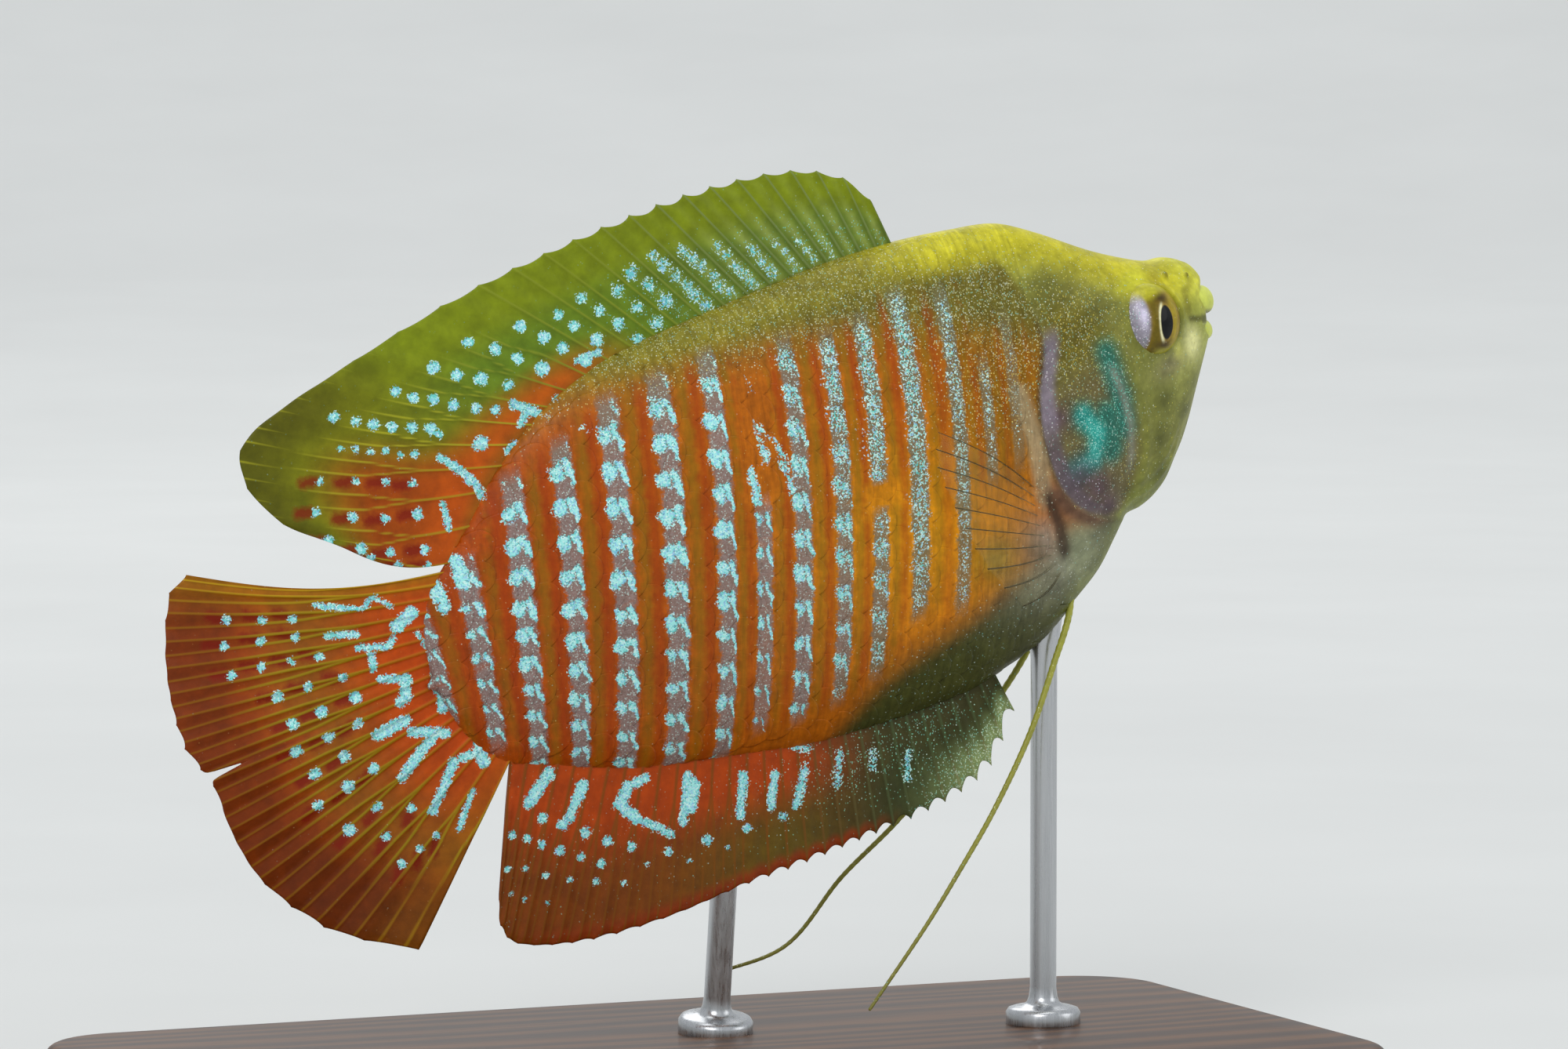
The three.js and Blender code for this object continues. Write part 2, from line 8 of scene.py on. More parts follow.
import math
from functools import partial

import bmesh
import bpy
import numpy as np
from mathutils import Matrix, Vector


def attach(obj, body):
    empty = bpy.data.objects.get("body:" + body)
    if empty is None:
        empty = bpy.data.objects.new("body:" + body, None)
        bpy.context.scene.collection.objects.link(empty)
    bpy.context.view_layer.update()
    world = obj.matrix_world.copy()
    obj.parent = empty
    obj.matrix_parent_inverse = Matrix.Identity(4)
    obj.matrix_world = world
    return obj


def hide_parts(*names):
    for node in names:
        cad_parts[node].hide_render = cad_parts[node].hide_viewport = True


bl_info = {
    "name": "Dwarf Gourami Model",
    "version": (1, 0, 0),
    "blender": (4, 5, 0),
    "location": "3D View > Sidebar > Gourami",
    "description": "Builds the skin, scales, fins, eyes and stand of a life-size dwarf gourami model",
    "category": "Object",
}

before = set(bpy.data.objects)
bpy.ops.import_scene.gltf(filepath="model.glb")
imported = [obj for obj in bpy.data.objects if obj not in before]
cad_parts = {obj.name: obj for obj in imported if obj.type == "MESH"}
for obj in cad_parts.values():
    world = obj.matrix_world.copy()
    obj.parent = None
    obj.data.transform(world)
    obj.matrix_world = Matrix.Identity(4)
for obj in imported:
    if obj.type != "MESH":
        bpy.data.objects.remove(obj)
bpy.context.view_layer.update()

MM = 0.001
BODY = "root"

# The pose and the body's length, in millimetres
SNOUT_X = 35.6
SNOUT_Z = 51.3
PITCH = math.radians(23)
HANDS = {"right": -1, "left": 1}
HEAD_BEND = (16, 0, 1.4)  # where the bend starts, where it ends, and how far that end lies to the left
TAIL_BEND = (44, 75, 2.6)
BODY_FRONT = 0.5
BODY_END = 59
SCALE_ROW = 1.9  # the height of a row of scales that the markings are drawn for


def linear(colour):
    """An sRGB hex value as linear red, green and blue."""
    parts = [int(colour[i : i + 2], 16) / 255 for i in (0, 2, 4)]
    return tuple(c / 12.92 if c <= 0.04045 else ((c + 0.055) / 1.055) ** 2.4 for c in parts)


def length_setting(name, description, default):
    """A length in metres as a property."""
    return bpy.props.FloatProperty(
        name=name, description=description, default=default, unit="LENGTH", precision=5
    )


def colour_setting(name, description, default):
    """A colour as a property, from its sRGB hex value."""
    return bpy.props.FloatVectorProperty(
        name=name, description=description, default=linear(default), subtype="COLOR", size=3, min=0, max=1
    )


class GouramiSizes(bpy.types.PropertyGroup):
    """Sizes of the fine forms on the fish."""

    scale_step: length_setting("Scale spacing", "From one scale to the next along a row", 0.00154)
    scale_row: length_setting("Scale row height", "From one row of scales to the next", SCALE_ROW * MM)
    scale_rise: length_setting("Scale rise", "How far a scale's free edge stands out of the skin", 0.000015)
    fin_skin: length_setting("Fin skin", "Half the thickness of a fin between its rays", 0.00007)
    fin_ray: length_setting("Fin ray", "How far a ray stands out of a fin's skin at its root", 0.00011)


class GouramiColours(bpy.types.PropertyGroup):
    """Colours of the fish."""

    orange: colour_setting("Orange", "Flank between the bars", "B4600A")
    bright: colour_setting("Bright orange", "Flank behind the shoulder", "E89A08")
    rust: colour_setting("Rust", "Flank towards the tail", "A84004")
    gold: colour_setting("Gold", "Olive gold behind the head", "8A6008")
    olive: colour_setting("Olive", "Upper back", "6C6320")
    crown: colour_setting("Crown", "Top of the head and nape", "C6BE28")
    belly: colour_setting("Belly", "Dark olive grey of the belly", "484A20")
    throat: colour_setting("Throat", "Grey lavender below the shoulder", "8A8A74")
    face: colour_setting("Face", "Cheek and jaw", "828840")
    lip: colour_setting("Lip", "Lips and tip of the snout", "D4DC58")
    mauve: colour_setting("Mauve", "Ground of the silver bars", "7C6E68")
    cyan: colour_setting("Cyan", "Glitter of the bars", "A6F2EE")
    teal: colour_setting("Teal", "Patch on the gill cover", "146E60")
    plum: colour_setting("Plum", "Edge of the gill cover", "5A4650")


# Functions that draw the fish's own lines


def through(stations):
    """A smooth line through a few measured stations (position, value), read at any position."""
    at, value = np.array(stations, float).T
    ahead, behind = np.append(at[1:], at[-1]), np.append(at[0], at[:-1])
    slope = (np.append(value[1:], value[-1]) - np.append(value[0], value[:-1])) / (ahead - behind)

    def read(x):
        i = np.clip(np.searchsorted(at, x) - 1, 0, len(at) - 2)
        run = at[i + 1] - at[i]
        t = np.clip((x - at[i]) / run, 0, 1)
        lift = t * (1 - t) * ((1 - t) * slope[i] - t * slope[i + 1]) * run
        return value[i] + (value[i + 1] - value[i]) * t * t * (3 - 2 * t) + lift

    return read


def smooth(x, low, high):
    """0 below low, 1 above high and a smooth step between."""
    t = np.clip((x - low) / (high - low), 0, 1)
    return t * t * (3 - 2 * t)


def hump(x, middle, width):
    """1 at the middle, falling off smoothly over the width on both sides."""
    return np.exp(-(((x - middle) / width) ** 2))


def window(x, *edges):
    """1 between a soft rise and a soft fall, each from one edge to the next, and 0 outside them."""
    rise_from, rise_to, fall_from, fall_to = edges
    return smooth(x, rise_from, rise_to) * (1 - smooth(x, fall_from, fall_to))


def spot(s, h, middle_s, middle_h, long, tall=None):
    """1 at the middle of an oval, falling off smoothly over its half length and half height."""
    return np.exp(-(((s - middle_s) / long) ** 2) - ((h - middle_h) / (tall or long)) ** 2)


# The body's outlines, how far each half of its section is pinched, and the edges of the gill cover
back_line = through([
    (0.5, 0.7), (0.8, 2.5), (1.4, 3.3), (2.5, 4.0), (3.7, 4.3), (5, 5.0), (7.6, 6.8), (10.7, 9.4),
    (13, 11.0), (16, 11.9), (20, 12.8), (25, 13.5), (32, 13.8), (38, 14.0), (42, 13.8), (46, 12.8),
    (50, 10.7), (53, 8.4), (55, 6.9), (57, 5.4), (58.4, 3.1), (59, 0.3),
])
belly_line = through([
    (0.5, 0.5), (1.2, -1.5), (2, -2.5), (3.1, -3.8), (4.3, -5.2), (5.7, -6.7), (8, -8.9), (9.3, -9.6),
    (10.6, -9.9), (11.9, -9.95), (13.3, -10.9), (15.3, -12.3), (17.8, -13.5), (20, -14.6), (22, -15.1),
    (26, -15.6), (30, -15.3), (34, -14.7), (38, -13.9), (42, -12.7), (46, -11.4), (50, -9.9), (53, -8.3),
    (55, -7.3), (57, -5.9), (58.4, -3.4), (59, -0.1),
])
half_width = through([
    (0.5, 0.6), (1, 1.7), (2, 2.4), (3.5, 3.0), (5, 3.45), (7, 3.85), (9, 4.15), (12, 4.5), (15, 4.75),
    (19, 4.95), (24, 4.95), (30, 4.6), (36, 4.0), (42, 3.2), (48, 2.3), (53, 1.55), (56, 1.1), (59, 0.55),
])
widest_level = through([
    (0.5, 0.6), (3, 1.2), (7, 1.2), (12, 0.2), (18, -1.2), (26, 0), (34, 1), (44, 1.4), (52, 0.5), (59, 0.1),
])
back_pinch = through([(0.5, 1), (6, 0.95), (14, 1), (20, 1.1), (40, 1.25), (59, 1.3)])
belly_pinch = through([(0.5, 1), (6, 1.2), (11, 1.15), (16, 0.9), (22, 1.05), (30, 1.35), (59, 1.4)])
gill_slit = through([
    (-12, 11.6), (-10.2, 12.0), (-9.5, 13.0), (-8.5, 14.8), (-7.2, 16.2), (-5.4, 17.1), (-3.6, 17.3),
    (-1.6, 17.1), (0.8, 16.3), (2.9, 15.0), (4.6, 14.4), (8, 14.6), (14, 16.2),
])
cover_front = through([
    (-9.5, 13.2), (-8.8, 12), (-6.9, 10.6), (-4.4, 9.8), (-1.5, 9.6), (1.6, 10), (3.4, 11.2),
])


def midline(s):
    """How far the fish's middle line is bent to its left at s."""
    bend = 0
    for start, end, sideways in (HEAD_BEND, TAIL_BEND):
        bend = bend + sideways * np.clip((s - start) / (end - start), 0, None) ** 2
    return bend


def place(s, h, y):
    """Points of the fish's own frame as points of the model, in metres."""
    s, h, y = np.broadcast_arrays(s, h, y)
    x = SNOUT_X - s * math.cos(PITCH) - h * math.sin(PITCH)
    z = SNOUT_Z - s * math.sin(PITCH) + h * math.cos(PITCH)
    return np.stack([x, y + midline(s), z], -1) * MM


def section(s, angle):
    """The body's h and y at an angle round its section: 0 on the back, pi under the belly."""
    s = np.clip(s, BODY_FRONT, BODY_END)
    up, across = np.cos(angle), np.sin(angle)
    level = widest_level(s)
    edge = np.where(up > 0, back_line(s), belly_line(s))
    pinch = np.where(up > 0, back_pinch(s), belly_pinch(s))
    h = level + (edge - level) * np.abs(up)
    return h, half_width(s) * np.abs(across) ** pinch * np.sign(across)


def side_at(s, h):
    """Half the body's width at a point of its side."""
    level = widest_level(s)
    edge = np.where(h > level, back_line(s), belly_line(s))
    pinch = np.where(h > level, back_pinch(s), belly_pinch(s))
    up = np.clip((h - level) / (edge - level), 0, 1)
    return half_width(s) * (1 - up * up) ** (pinch / 2)


class Girth:
    """Tables that turn a distance round the body from its widest level into an angle, and back."""

    S = np.linspace(BODY_FRONT, BODY_END, 300)
    ANGLES = np.linspace(0, math.pi, 361)
    ARCS = np.linspace(-24, 24, 481)

    def __init__(self):
        s, angle = np.meshgrid(self.S, self.ANGLES, indexing="ij")
        h, y = section(s, angle)
        steps = np.hypot(np.diff(h, axis=1), np.diff(y, axis=1))
        run = np.concatenate([np.zeros((len(self.S), 1)), np.cumsum(steps, axis=1)], axis=1)
        self.arc = run[:, [len(self.ANGLES) // 2]] - run
        flipped = [np.interp(-self.ARCS, -row, self.ANGLES) for row in self.arc]
        self.angle = np.array(flipped)

    @staticmethod
    def read(table, rows, columns, s, at):
        """A table's value between its rows and columns."""
        i = np.interp(s, rows, np.arange(len(rows)))
        j = np.interp(at, columns, np.arange(len(columns)))
        i0 = np.minimum(i.astype(int), len(rows) - 2)
        j0 = np.minimum(j.astype(int), len(columns) - 2)
        fi, fj = i - i0, j - j0
        low = table[i0, j0] * (1 - fj) + table[i0, j0 + 1] * fj
        high = table[i0 + 1, j0] * (1 - fj) + table[i0 + 1, j0 + 1] * fj
        return low * (1 - fi) + high * fi

    def angle_at(self, s, arc):
        """The angle round the section at a distance from the widest level, upwards positive."""
        return self.read(self.angle, self.S, self.ARCS, s, arc)

    def arc_at(self, s, angle):
        """The distance from the widest level at an angle round the section."""
        return self.read(self.arc, self.S, self.ANGLES, s, np.abs(angle))


girth = Girth()


def outwards(s, angle):
    """The unit direction out of the body's surface, in the fish's frame."""
    ds, da = 0.05, 0.01
    (h0, y0), (h1, y1) = section(s - ds, angle), section(s + ds, angle)
    (h2, y2), (h3, y3) = section(s, angle - da), section(s, angle + da)
    ahead = np.stack([np.full_like(h0, 2 * ds), h1 - h0, y1 - y0], -1)
    around = np.stack([np.zeros_like(h0), h3 - h2, y3 - y2], -1)
    out = np.cross(ahead, around)
    return out / np.maximum(np.linalg.norm(out, axis=-1, keepdims=True), 1e-12)


# The eyes: middle in the fish's frame, radii along, up and out, and turn to the front in radians
EYE_S, EYE_H, EYE_Y = 6.5, 1.45, 2.75
EYE_RADII = (2.4, 2.45, 1.95)
EYE_TURN = 0.3
SOCKET = 0.84  # the socket's edge, as a share of the eyeball's radius
SOCKET_DEPTH = 0.3  # how far the skin lies under the eyeball's surface
LID_RISE = 0.13  # the raised rim round the eye


def eye_axes(s, h, y, hand):
    """A point as the eye sees it: along the fish, up, and out along the eye's own axis."""
    along, up, out = s - EYE_S, h - EYE_H, hand * y - EYE_Y
    turned_along = along * math.cos(EYE_TURN) + out * math.sin(EYE_TURN)
    return turned_along, up, out * math.cos(EYE_TURN) - along * math.sin(EYE_TURN)


def eye_place(along, up, out, hand):
    """The reverse of eye_axes."""
    s = EYE_S + along * math.cos(EYE_TURN) - out * math.sin(EYE_TURN)
    y = EYE_Y + along * math.sin(EYE_TURN) + out * math.cos(EYE_TURN)
    return s, EYE_H + up, hand * y


NOSTRILS = ((2.3, 2.7, 0.22, 0.2), (3.9, 3.4, 0.26, 0.25))  # s, h, radius, depth
MOUTH_DEPTH = 0.6  # how far the skin lies back behind the lips


def relief(s, h):
    """How far the skin stands in or out of the body's plain form, in millimetres."""
    behind_slit, behind_front = s - gill_slit(h), s - cover_front(h)
    slit = window(h, -10.2, -8.8, 4.6, 6.6)
    cover = smooth(behind_front, -0.4, 0.9) * window(h, -9.8, -8.2, 3.2, 5.2)
    rim = 0.14 * hump(behind_slit, -0.55, 0.6) * slit
    plate = (0.2 * cover + rim) * (1 - smooth(behind_slit, -0.12, 0.12))
    slit_groove = -0.16 * hump(behind_slit, 0.28, 0.3) * slit
    front_groove = -0.09 * hump(behind_front, -0.25, 0.28) * window(h, -8.6, -7.2, 0.6, 2)
    jaw = -0.12 * hump(h, -1.2 - 0.95 * s, 0.3) * window(s, 2.6, 3.4, 6, 7.5)
    brow = 0.16 * hump(np.hypot(s - 7.2, (h - 4.3) * 1.6), 0, 1.5)
    folds = hump(h - belly_line(s), 1.2, 0.22) + hump(h - belly_line(s), 2.1, 0.22)
    throat = -0.08 * folds * window(s, 6, 8, 11.5, 12.5)
    shoulder = 0.35 * hump(np.hypot(s - 17.7, (h + 8) * 0.62), 0, 1.1)
    pits = 0
    for pit_s, pit_h, radius, depth in NOSTRILS:
        away = np.hypot(s - pit_s, h - pit_h)
        pits = pits + 0.06 * hump(away, radius * 1.5, 0.2) - depth * (1 - smooth(away, radius * 0.4, radius))
    return plate + slit_groove + front_groove + jaw + brow + throat + shoulder + pits


# Markings: what each point of the fish is coloured, from its own place, with painted shade in its grooves and
# creases and a painted highlight on the chin

FAR = 9.0  # a distance that counts as far from every stroke, in millimetres
ROW_HEIGHT = through([(0, 2.2), (36, 2.2), (42, 2.12), (46, 1.98), (50, 1.8), (55, 1.6), (60, 1.5)])
BAR_LEAN = through([(0, 0.32), (50, 0.32), (59, 0.1)])
# Bars from head to tail: place at h 0, lowest and highest h, strength, and a gap from and to h
BARS = (
    (18.6, -2.5, 6.5, 0.45, 0, 0), (20.6, -2.5, 4.5, 0.6, 0, 0), (22.7, -9.5, 9.5, 0.75, 0, 0),
    (26.0, -8.5, 10.5, 0.95, 0, 0), (28.8, -11, 10, 1, -1.4, 0.4), (31.3, -11.5, 10, 1, 0, 0),
    (34.2, -11.5, 10.8, 1, 0, 0), (37.0, -11, 2.4, 0.75, 0, 0), (39.4, -12, 12, 1, 0, 0),
    (43.0, -11.5, 12, 1, 0, 0), (46.5, -10.8, 12, 1, 0, 0), (49.8, -9.5, 10.8, 1, 0, 0),
    (53.0, -8, 10, 1, 0, 0), (56.0, -5, 6.5, 0.75, 0, 0),
)


def bars_at(s, h):
    """Which bar a point is at, whole at a bar's middle, and how strong that bar is there."""
    at, low, high, weight, gap_low, gap_high = np.array(BARS).T
    along = s + BAR_LEAN(s) * h
    ends = np.concatenate([[at[0] - 2.2], at, [at[-1] + 2.8]])
    bar = np.interp(along, ends, np.arange(-1, len(at) + 1))
    i = np.clip(np.round(bar).astype(int), 0, len(at) - 1)
    strength = weight[i] * window(h, low[i] - 1.2, low[i] + 0.8, high[i] - 1.2, high[i] + 0.8)
    gap = window(h, gap_low[i] - 0.3, gap_low[i] + 0.2, gap_high[i] - 0.2, gap_high[i] + 0.3)
    strength = strength * (1 - 0.2 * smooth(-h, 0, 9))
    return bar, strength * (1 - gap) * smooth(s - gill_slit(h), 0.6, 1.8)


# The lower edge of the olive back, and the upper edge of the grey belly
olive_line = through([
    (6, 2), (14.2, 4.0), (18, 6.2), (23, 8.4), (28.5, 10.2), (34, 11.4), (39, 12.3), (44, 13.4), (48, 12.9),
    (60, 9),
])
grey_line = through([
    (10, -8), (15, -8.3), (18, -8.8), (22.7, -9.9), (26, -10.7), (30.4, -11.5), (33.8, -12.8), (38, -16),
])

# Round patches: middle s and h, and half width
CHEEK_SHADES = ((7.4, -3.4, 1.0), (8.6, -5.8, 1.1), (6.0, -5.0, 0.7), (9.2, -8.0, 0.8), (4.6, -3.6, 0.6))
PLUM_PATCHES = ((15.7, -1.2, 0.9), (15.6, -5.2, 1.2), (14.4, -6.6, 1.2), (13.8, -8.2, 0.9))
# Oval patches on the head: colour, strength, middle s and h, half length and half height. ECEAA0 is a painted
# highlight on the chin below the lower lip, and 8A7A14 is painted shade of a groove before the eye.
FACE_PATCHES_SHADE_AND_HIGHLIGHT = (
    ("B4B65E", 0.6, 5.2, -2.4, 1.9, 1.5), ("7E7460", 0.6, 6.3, -1.7, 1.6, 0.8),
    ("ECEAA0", 1.2, 3.9, -1.2, 0.8, 1.0), ("D4D26A", 0.7, 5.4, -1.0, 0.4, 0.6),
    ("8A7A14", 0.5, 4.9, 3.6, 0.5, 0.7),
)
# Strokes: s and h of both ends, and half width
# Painted shade in the crease behind the upper lip
LIP_CREASE_SHADE = [(2.2, 2.3, 3.2, 1.9, 0.0), (3.2, 1.9, 3.5, 0.8, 0.0)]
# Painted shade in the cleft of the mouth between the lips
MOUTH_LINE_SHADE = [(1.0, -0.6, 2.2, -0.3, 0.12), (2.2, -0.3, 3.5, 0.25, 0.02)]
SHOULDER_BAND = [(17.6, 1.5, 18.0, -2.5, 0.25), (18.0, -2.5, 18.5, -5.4, 0.3)]  # behind the gill slit
# Painted shade in the dark crease before the pectoral fin's root
FIN_CREASE_SHADE = [(18.3, -5.6, 17.9, -7.7, 0.22), (17.9, -7.7, 18.1, -9.3, 0.28)]  # before the pectoral fin
TEAL_STROKES = [  # the patch on the gill cover, then the strip up towards the eye
    (15.7, -4.9, 14.1, -4.7, 0.5), (14.1, -4.7, 13.2, -3.4, 0.5), (13.2, -3.4, 13.9, -1.8, 0.5),
    (12.6, -4.6, 12.2, -2.6, 0.6), (10.7, 1.2, 10.8, -1.8, 0.35), (10.8, -1.8, 11.2, -3.8, 0.45),
]
FLANK_STROKES = [  # marks between the bars
    (33.6, 9.9, 33.8, 8.7, 0.2), (34.3, 7.0, 34.9, 4.6, 0.3), (33.7, 5.6, 33.9, 3.4, 0.32),
    (33.9, 3.4, 34.2, 1.5, 0.26), (36.0, 4.4, 36.4, 2.4, 0.3), (28.4, 4.0, 28.8, 1.4, 0.26),
    (54.8, 6.6, 55.0, 5.2, 0.45), (56.6, 5.8, 56.7, 4.3, 0.4),
]
ROOT_STROKES = [  # marks across the root of the dorsal fin, half on the body and half on the fin
    (47.5, 13.9, 46.5, 13.0, 0.33), (46.5, 13.0, 46.0, 12.4, 0.29), (46.9, 13.2, 47.6, 12.6, 0.23),
    (48.4, 11.7, 49.0, 11.4, 0.23), (50.4, 12.6, 50.5, 12.6, 0.48), (53.2, 12.9, 52.6, 12.1, 0.23),
    (52.6, 12.1, 51.8, 10.6, 0.29), (51.7, 10.5, 51.6, 9.5, 0.25), (42.9, 13.1, 43.0, 13.1, 0.28),
    (44.8, 13.0, 44.9, 13.0, 0.28), (42.6, 14.7, 41.1, 14.6, 0.23), (44.2, 10.9, 45.0, 11.1, 0.25),
    (52.7, 14.2, 52.7, 14.3, 0.25), (54.1, 10.1, 54.4, 8.6, 0.23),
]


def distance_to(s, h, strokes):
    """How far points are from the nearest stroke's edge, in millimetres."""
    nearest = np.full(np.shape(s), FAR)
    for s0, h0, s1, h1, half in strokes:
        ds, dh = s1 - s0, h1 - h0
        t = np.clip(((s - s0) * ds + (h - h0) * dh) / max(ds * ds + dh * dh, 1e-9), 0, 1)
        nearest = np.minimum(nearest, np.hypot(s - s0 - t * ds, h - h0 - t * dh) - half)
    return nearest


def beside(s, h, strokes, low, high):
    """1 on some strokes, falling to 0 between two distances from them."""
    return 1 - smooth(distance_to(s, h, strokes), low, high)


def markings(s, h, colours):
    """The ground colour with its painted shade and highlight, the glint's colour and the share of glints at
    each point.
    """
    ground = np.empty(np.shape(s) + (3,))
    ground[...] = colours.orange
    glint = np.empty_like(ground)
    glint[...] = linear("E8D070")
    share = np.full(np.shape(s), 0.015)

    def wash(colour, weight, glint_colour=None, glints=None):
        """Lays a colour over what is there, and the colour and share of its own glints if it has any."""
        nonlocal share
        colour = linear(colour) if isinstance(colour, str) else colour
        ground[...] += (np.array(colour) - ground) * weight[..., None]
        if glint_colour:
            glint[...] += (np.array(linear(glint_colour)) - glint) * weight[..., None]
            share = share + (glints - share) * weight

    back = back_line(s)
    behind_slit, behind_front = s - gill_slit(h), s - cover_front(h)
    head = 1 - smooth(behind_slit, -0.3, 0.3)
    body = 1 - head

    # The flank, back and belly
    wash(colours.rust, 0.8 * smooth(s, 36, 54))
    wash(colours.bright, 0.9 * spot(s, h, 27, -4, 7, 6))
    wash(colours.gold, 0.8 * (1 - smooth(s, 18, 25)) * smooth(h, -6, 0))
    above = smooth(h, olive_line(s) - 2.4, olive_line(s) + 1.6)
    wash(colours.olive, above, "C9C98C", 0.34)
    share = np.maximum(share, 0.3 * (1 - smooth(s, 17, 27)) * smooth(h, -3, 3))
    crown = smooth(h, back - 3.2, back - 1) * above * (1 - 0.8 * smooth(s, 17, 25))
    wash(colours.crown, crown, "D8CC50", 0.08)
    below = 1 - smooth(h, grey_line(s) - 1.3, grey_line(s) + 1.6)
    wash(colours.belly, below, "8FA8A0", 0.05)
    wash(colours.throat, below * spot(s, h, 19, -9.6, 4.2, 2.6), "C8C4B4", 0.1)
    wash("7A8034", below * hump(h, belly_line(s), 1.6) * (1 - smooth(s, 17, 21)))

    # The head and gill cover
    wash(colours.face, head * 0.95, "C8C04C", 0.06)
    wash(colours.crown, head * smooth(h, back - 4.5, back - 1), "D8CC50", 0.06)
    nape = head * spot(s, h, 13.4, 3.2, 4.4, 3.8)
    wash("6E6420", np.clip(nape * 1.1, 0, 1), "D0BC50", 0.34)
    cover = head * smooth(behind_front, -0.2, 0.9) * smooth(h, -9.8, -8.4)
    wash("66583A", cover * 0.8 * (1 - smooth(h, -0.5, 2.5)), "C0B460", 0.24)
    for middle_s, middle_h, size in CHEEK_SHADES:
        wash("4A4E20", head * 0.6 * spot(s, h, middle_s, middle_h, size))
    wash(colours.teal, head * 0.85 * beside(s, h, TEAL_STROKES, -0.2, 1.1), "3CD8C4", 0.4)
    wash("2CB4A8", head * 0.6 * beside(s, h, TEAL_STROKES[:3], -0.4, 0.5), "A8FFF6", 0.8)
    for middle_s, middle_h, size in PLUM_PATCHES:
        wash(colours.plum, head * 0.85 * spot(s, h, middle_s, middle_h, size), "C09AC8", 0.08)
    band = head * 0.85 * smooth(behind_slit, -1.5, -0.9) * window(h, -9, -7.6, 3.2, 4.6)
    wash("8E8290", band * smooth(h, -3.5, -0.5), "D8CCE0", 0.1)
    wash("685A62", band * (1 - smooth(h, -3.5, -0.5)), "B8A0C0", 0.08)
    wash("8E9080", head * 0.7 * hump(behind_front, 1.0, 0.3) * window(h, -7.5, -6, -0.5, 0.8))
    wash(colours.lip, (1 - smooth(s, 1.6, 4.6)) * 0.35, "E0DCA0", 0.04)
    # These patches include a painted highlight on the chin and painted shade of a groove before the eye
    for colour, strength, *oval in FACE_PATCHES_SHADE_AND_HIGHLIGHT:
        wash(colour, head * np.clip(strength * spot(s, h, *oval), 0, 1))
    # Painted shade along the crease behind the upper lip
    wash("7A7420", head * 0.6 * beside(s, h, LIP_CREASE_SHADE, 0, 0.5))
    wash("D0CE38", 0.95 * np.clip(1.4 * spot(s, h, 6.6, 4.3, 1.3, 0.55), 0, 1))
    # Painted shade: the nostril pits are darkened inside
    for pit_s, pit_h, radius, _ in NOSTRILS:
        away = np.hypot(s - pit_s, h - pit_h)
        wash("5E5618", 0.75 * (1 - smooth(away, radius * 0.4, radius * 0.95)))
    # Painted shadow: a dark line in the groove of the gill slit
    wash("4A3A1C", 0.8 * hump(behind_slit, 0.22, 0.2) * window(h, -9, -7.5, 4, 6))

    # The skin round the root of the pectoral fin with painted shade in the crease before it, and the mouth
    # with painted shade in its cleft
    wash("A89672", body * 0.8 * beside(s, h, SHOULDER_BAND, 0, 0.6), "D8CCA0", 0.1)
    wash("8E8272", body * 0.9 * spot(s, h, 19.5, -7.9, 1.7), "C8BCA8", 0.05)
    wash("9AA07C", body * 0.8 * spot(s, h, 16.9, -9.9, 1.4, 2.0))
    wash("6A5040", body * 0.9 * hump(behind_slit, 0.6, 0.8) * window(h, -9.4, -8.2, -5.5, -4))
    wash("86802E", body * 0.7 * spot(s, h, 23, -7.6, 1.6))
    # Painted shade in the crease before the pectoral fin
    wash("3C2A1E", body * 0.85 * beside(s, h, FIN_CREASE_SHADE, -0.1, 0.5))
    # Painted shade along the cleft of the mouth
    wash("3A3410", 0.7 * beside(s, h, MOUTH_LINE_SHADE, 0, 0.32))
    return ground, glint, share


def mixed(base, *washes):
    """Colours at points, from a base colour and washes (colour, weight) laid over it in turn."""
    ground = np.tile(linear(base), (len(washes[0][1]), 1))
    for colour, weight in washes:
        ground += (np.array(linear(colour)) - ground) * weight[:, None]
    return ground


def speckled(ground, glint, share):
    """What a plainly coloured piece's material reads: its ground, its glints' colour and their share."""
    glints = np.tile(linear(glint), (len(ground), 1))
    return {"ground": ground, "glint": glints, "glitter": share + np.zeros(len(ground))}


# Helpers that turn shapes into finished pieces


def drawn(bm, places):
    """Gives a bmesh's points their places, in metres, in the order they were made."""
    for vert, at in zip(bm.verts, places):
        vert.co = at


def own_places(bm):
    """Where a bmesh's points are, in the order they were made."""
    return np.array([v.co for v in bm.verts], float)


def face_out(bm):
    """Turns a closed form's faces outwards."""
    if bm.calc_volume(signed=True) < 0:
        bmesh.ops.reverse_faces(bm, faces=bm.faces[:])


def piece(name, bm, material, nodes=(), attributes=None):
    """Makes a finished piece that rides on the body and stands for the CAD nodes named."""
    bm.normal_update()
    mesh = bpy.data.meshes.new(name)
    bm.to_mesh(mesh)
    bm.free()
    for label, values in (attributes or {}).items():
        values = np.ascontiguousarray(values, np.float32)
        kind, field = ("FLOAT", "value") if values.ndim == 1 else ("FLOAT_VECTOR", "vector")
        mesh.attributes.new(label, kind, "POINT").data.foreach_set(field, values.ravel())
    mesh.shade_smooth()
    mesh.materials.append(material)
    obj = bpy.data.objects.new(name, mesh)
    bpy.context.scene.collection.objects.link(obj)
    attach(obj, BODY)
    if nodes:
        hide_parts(*nodes)
    return obj


def ball(sides, rings):
    """A closed round form to be reshaped, with each point's way from pole to pole and its angle."""
    bm = bmesh.new()
    bm.loops.layers.uv.new("OFBake")
    bmesh.ops.create_uvsphere(bm, u_segments=sides, v_segments=rings, radius=1, calc_uvs=True)
    x, y, z = own_places(bm).T
    return bm, np.arccos(np.clip(z, -1, 1)) / math.pi, np.arctan2(y, x)


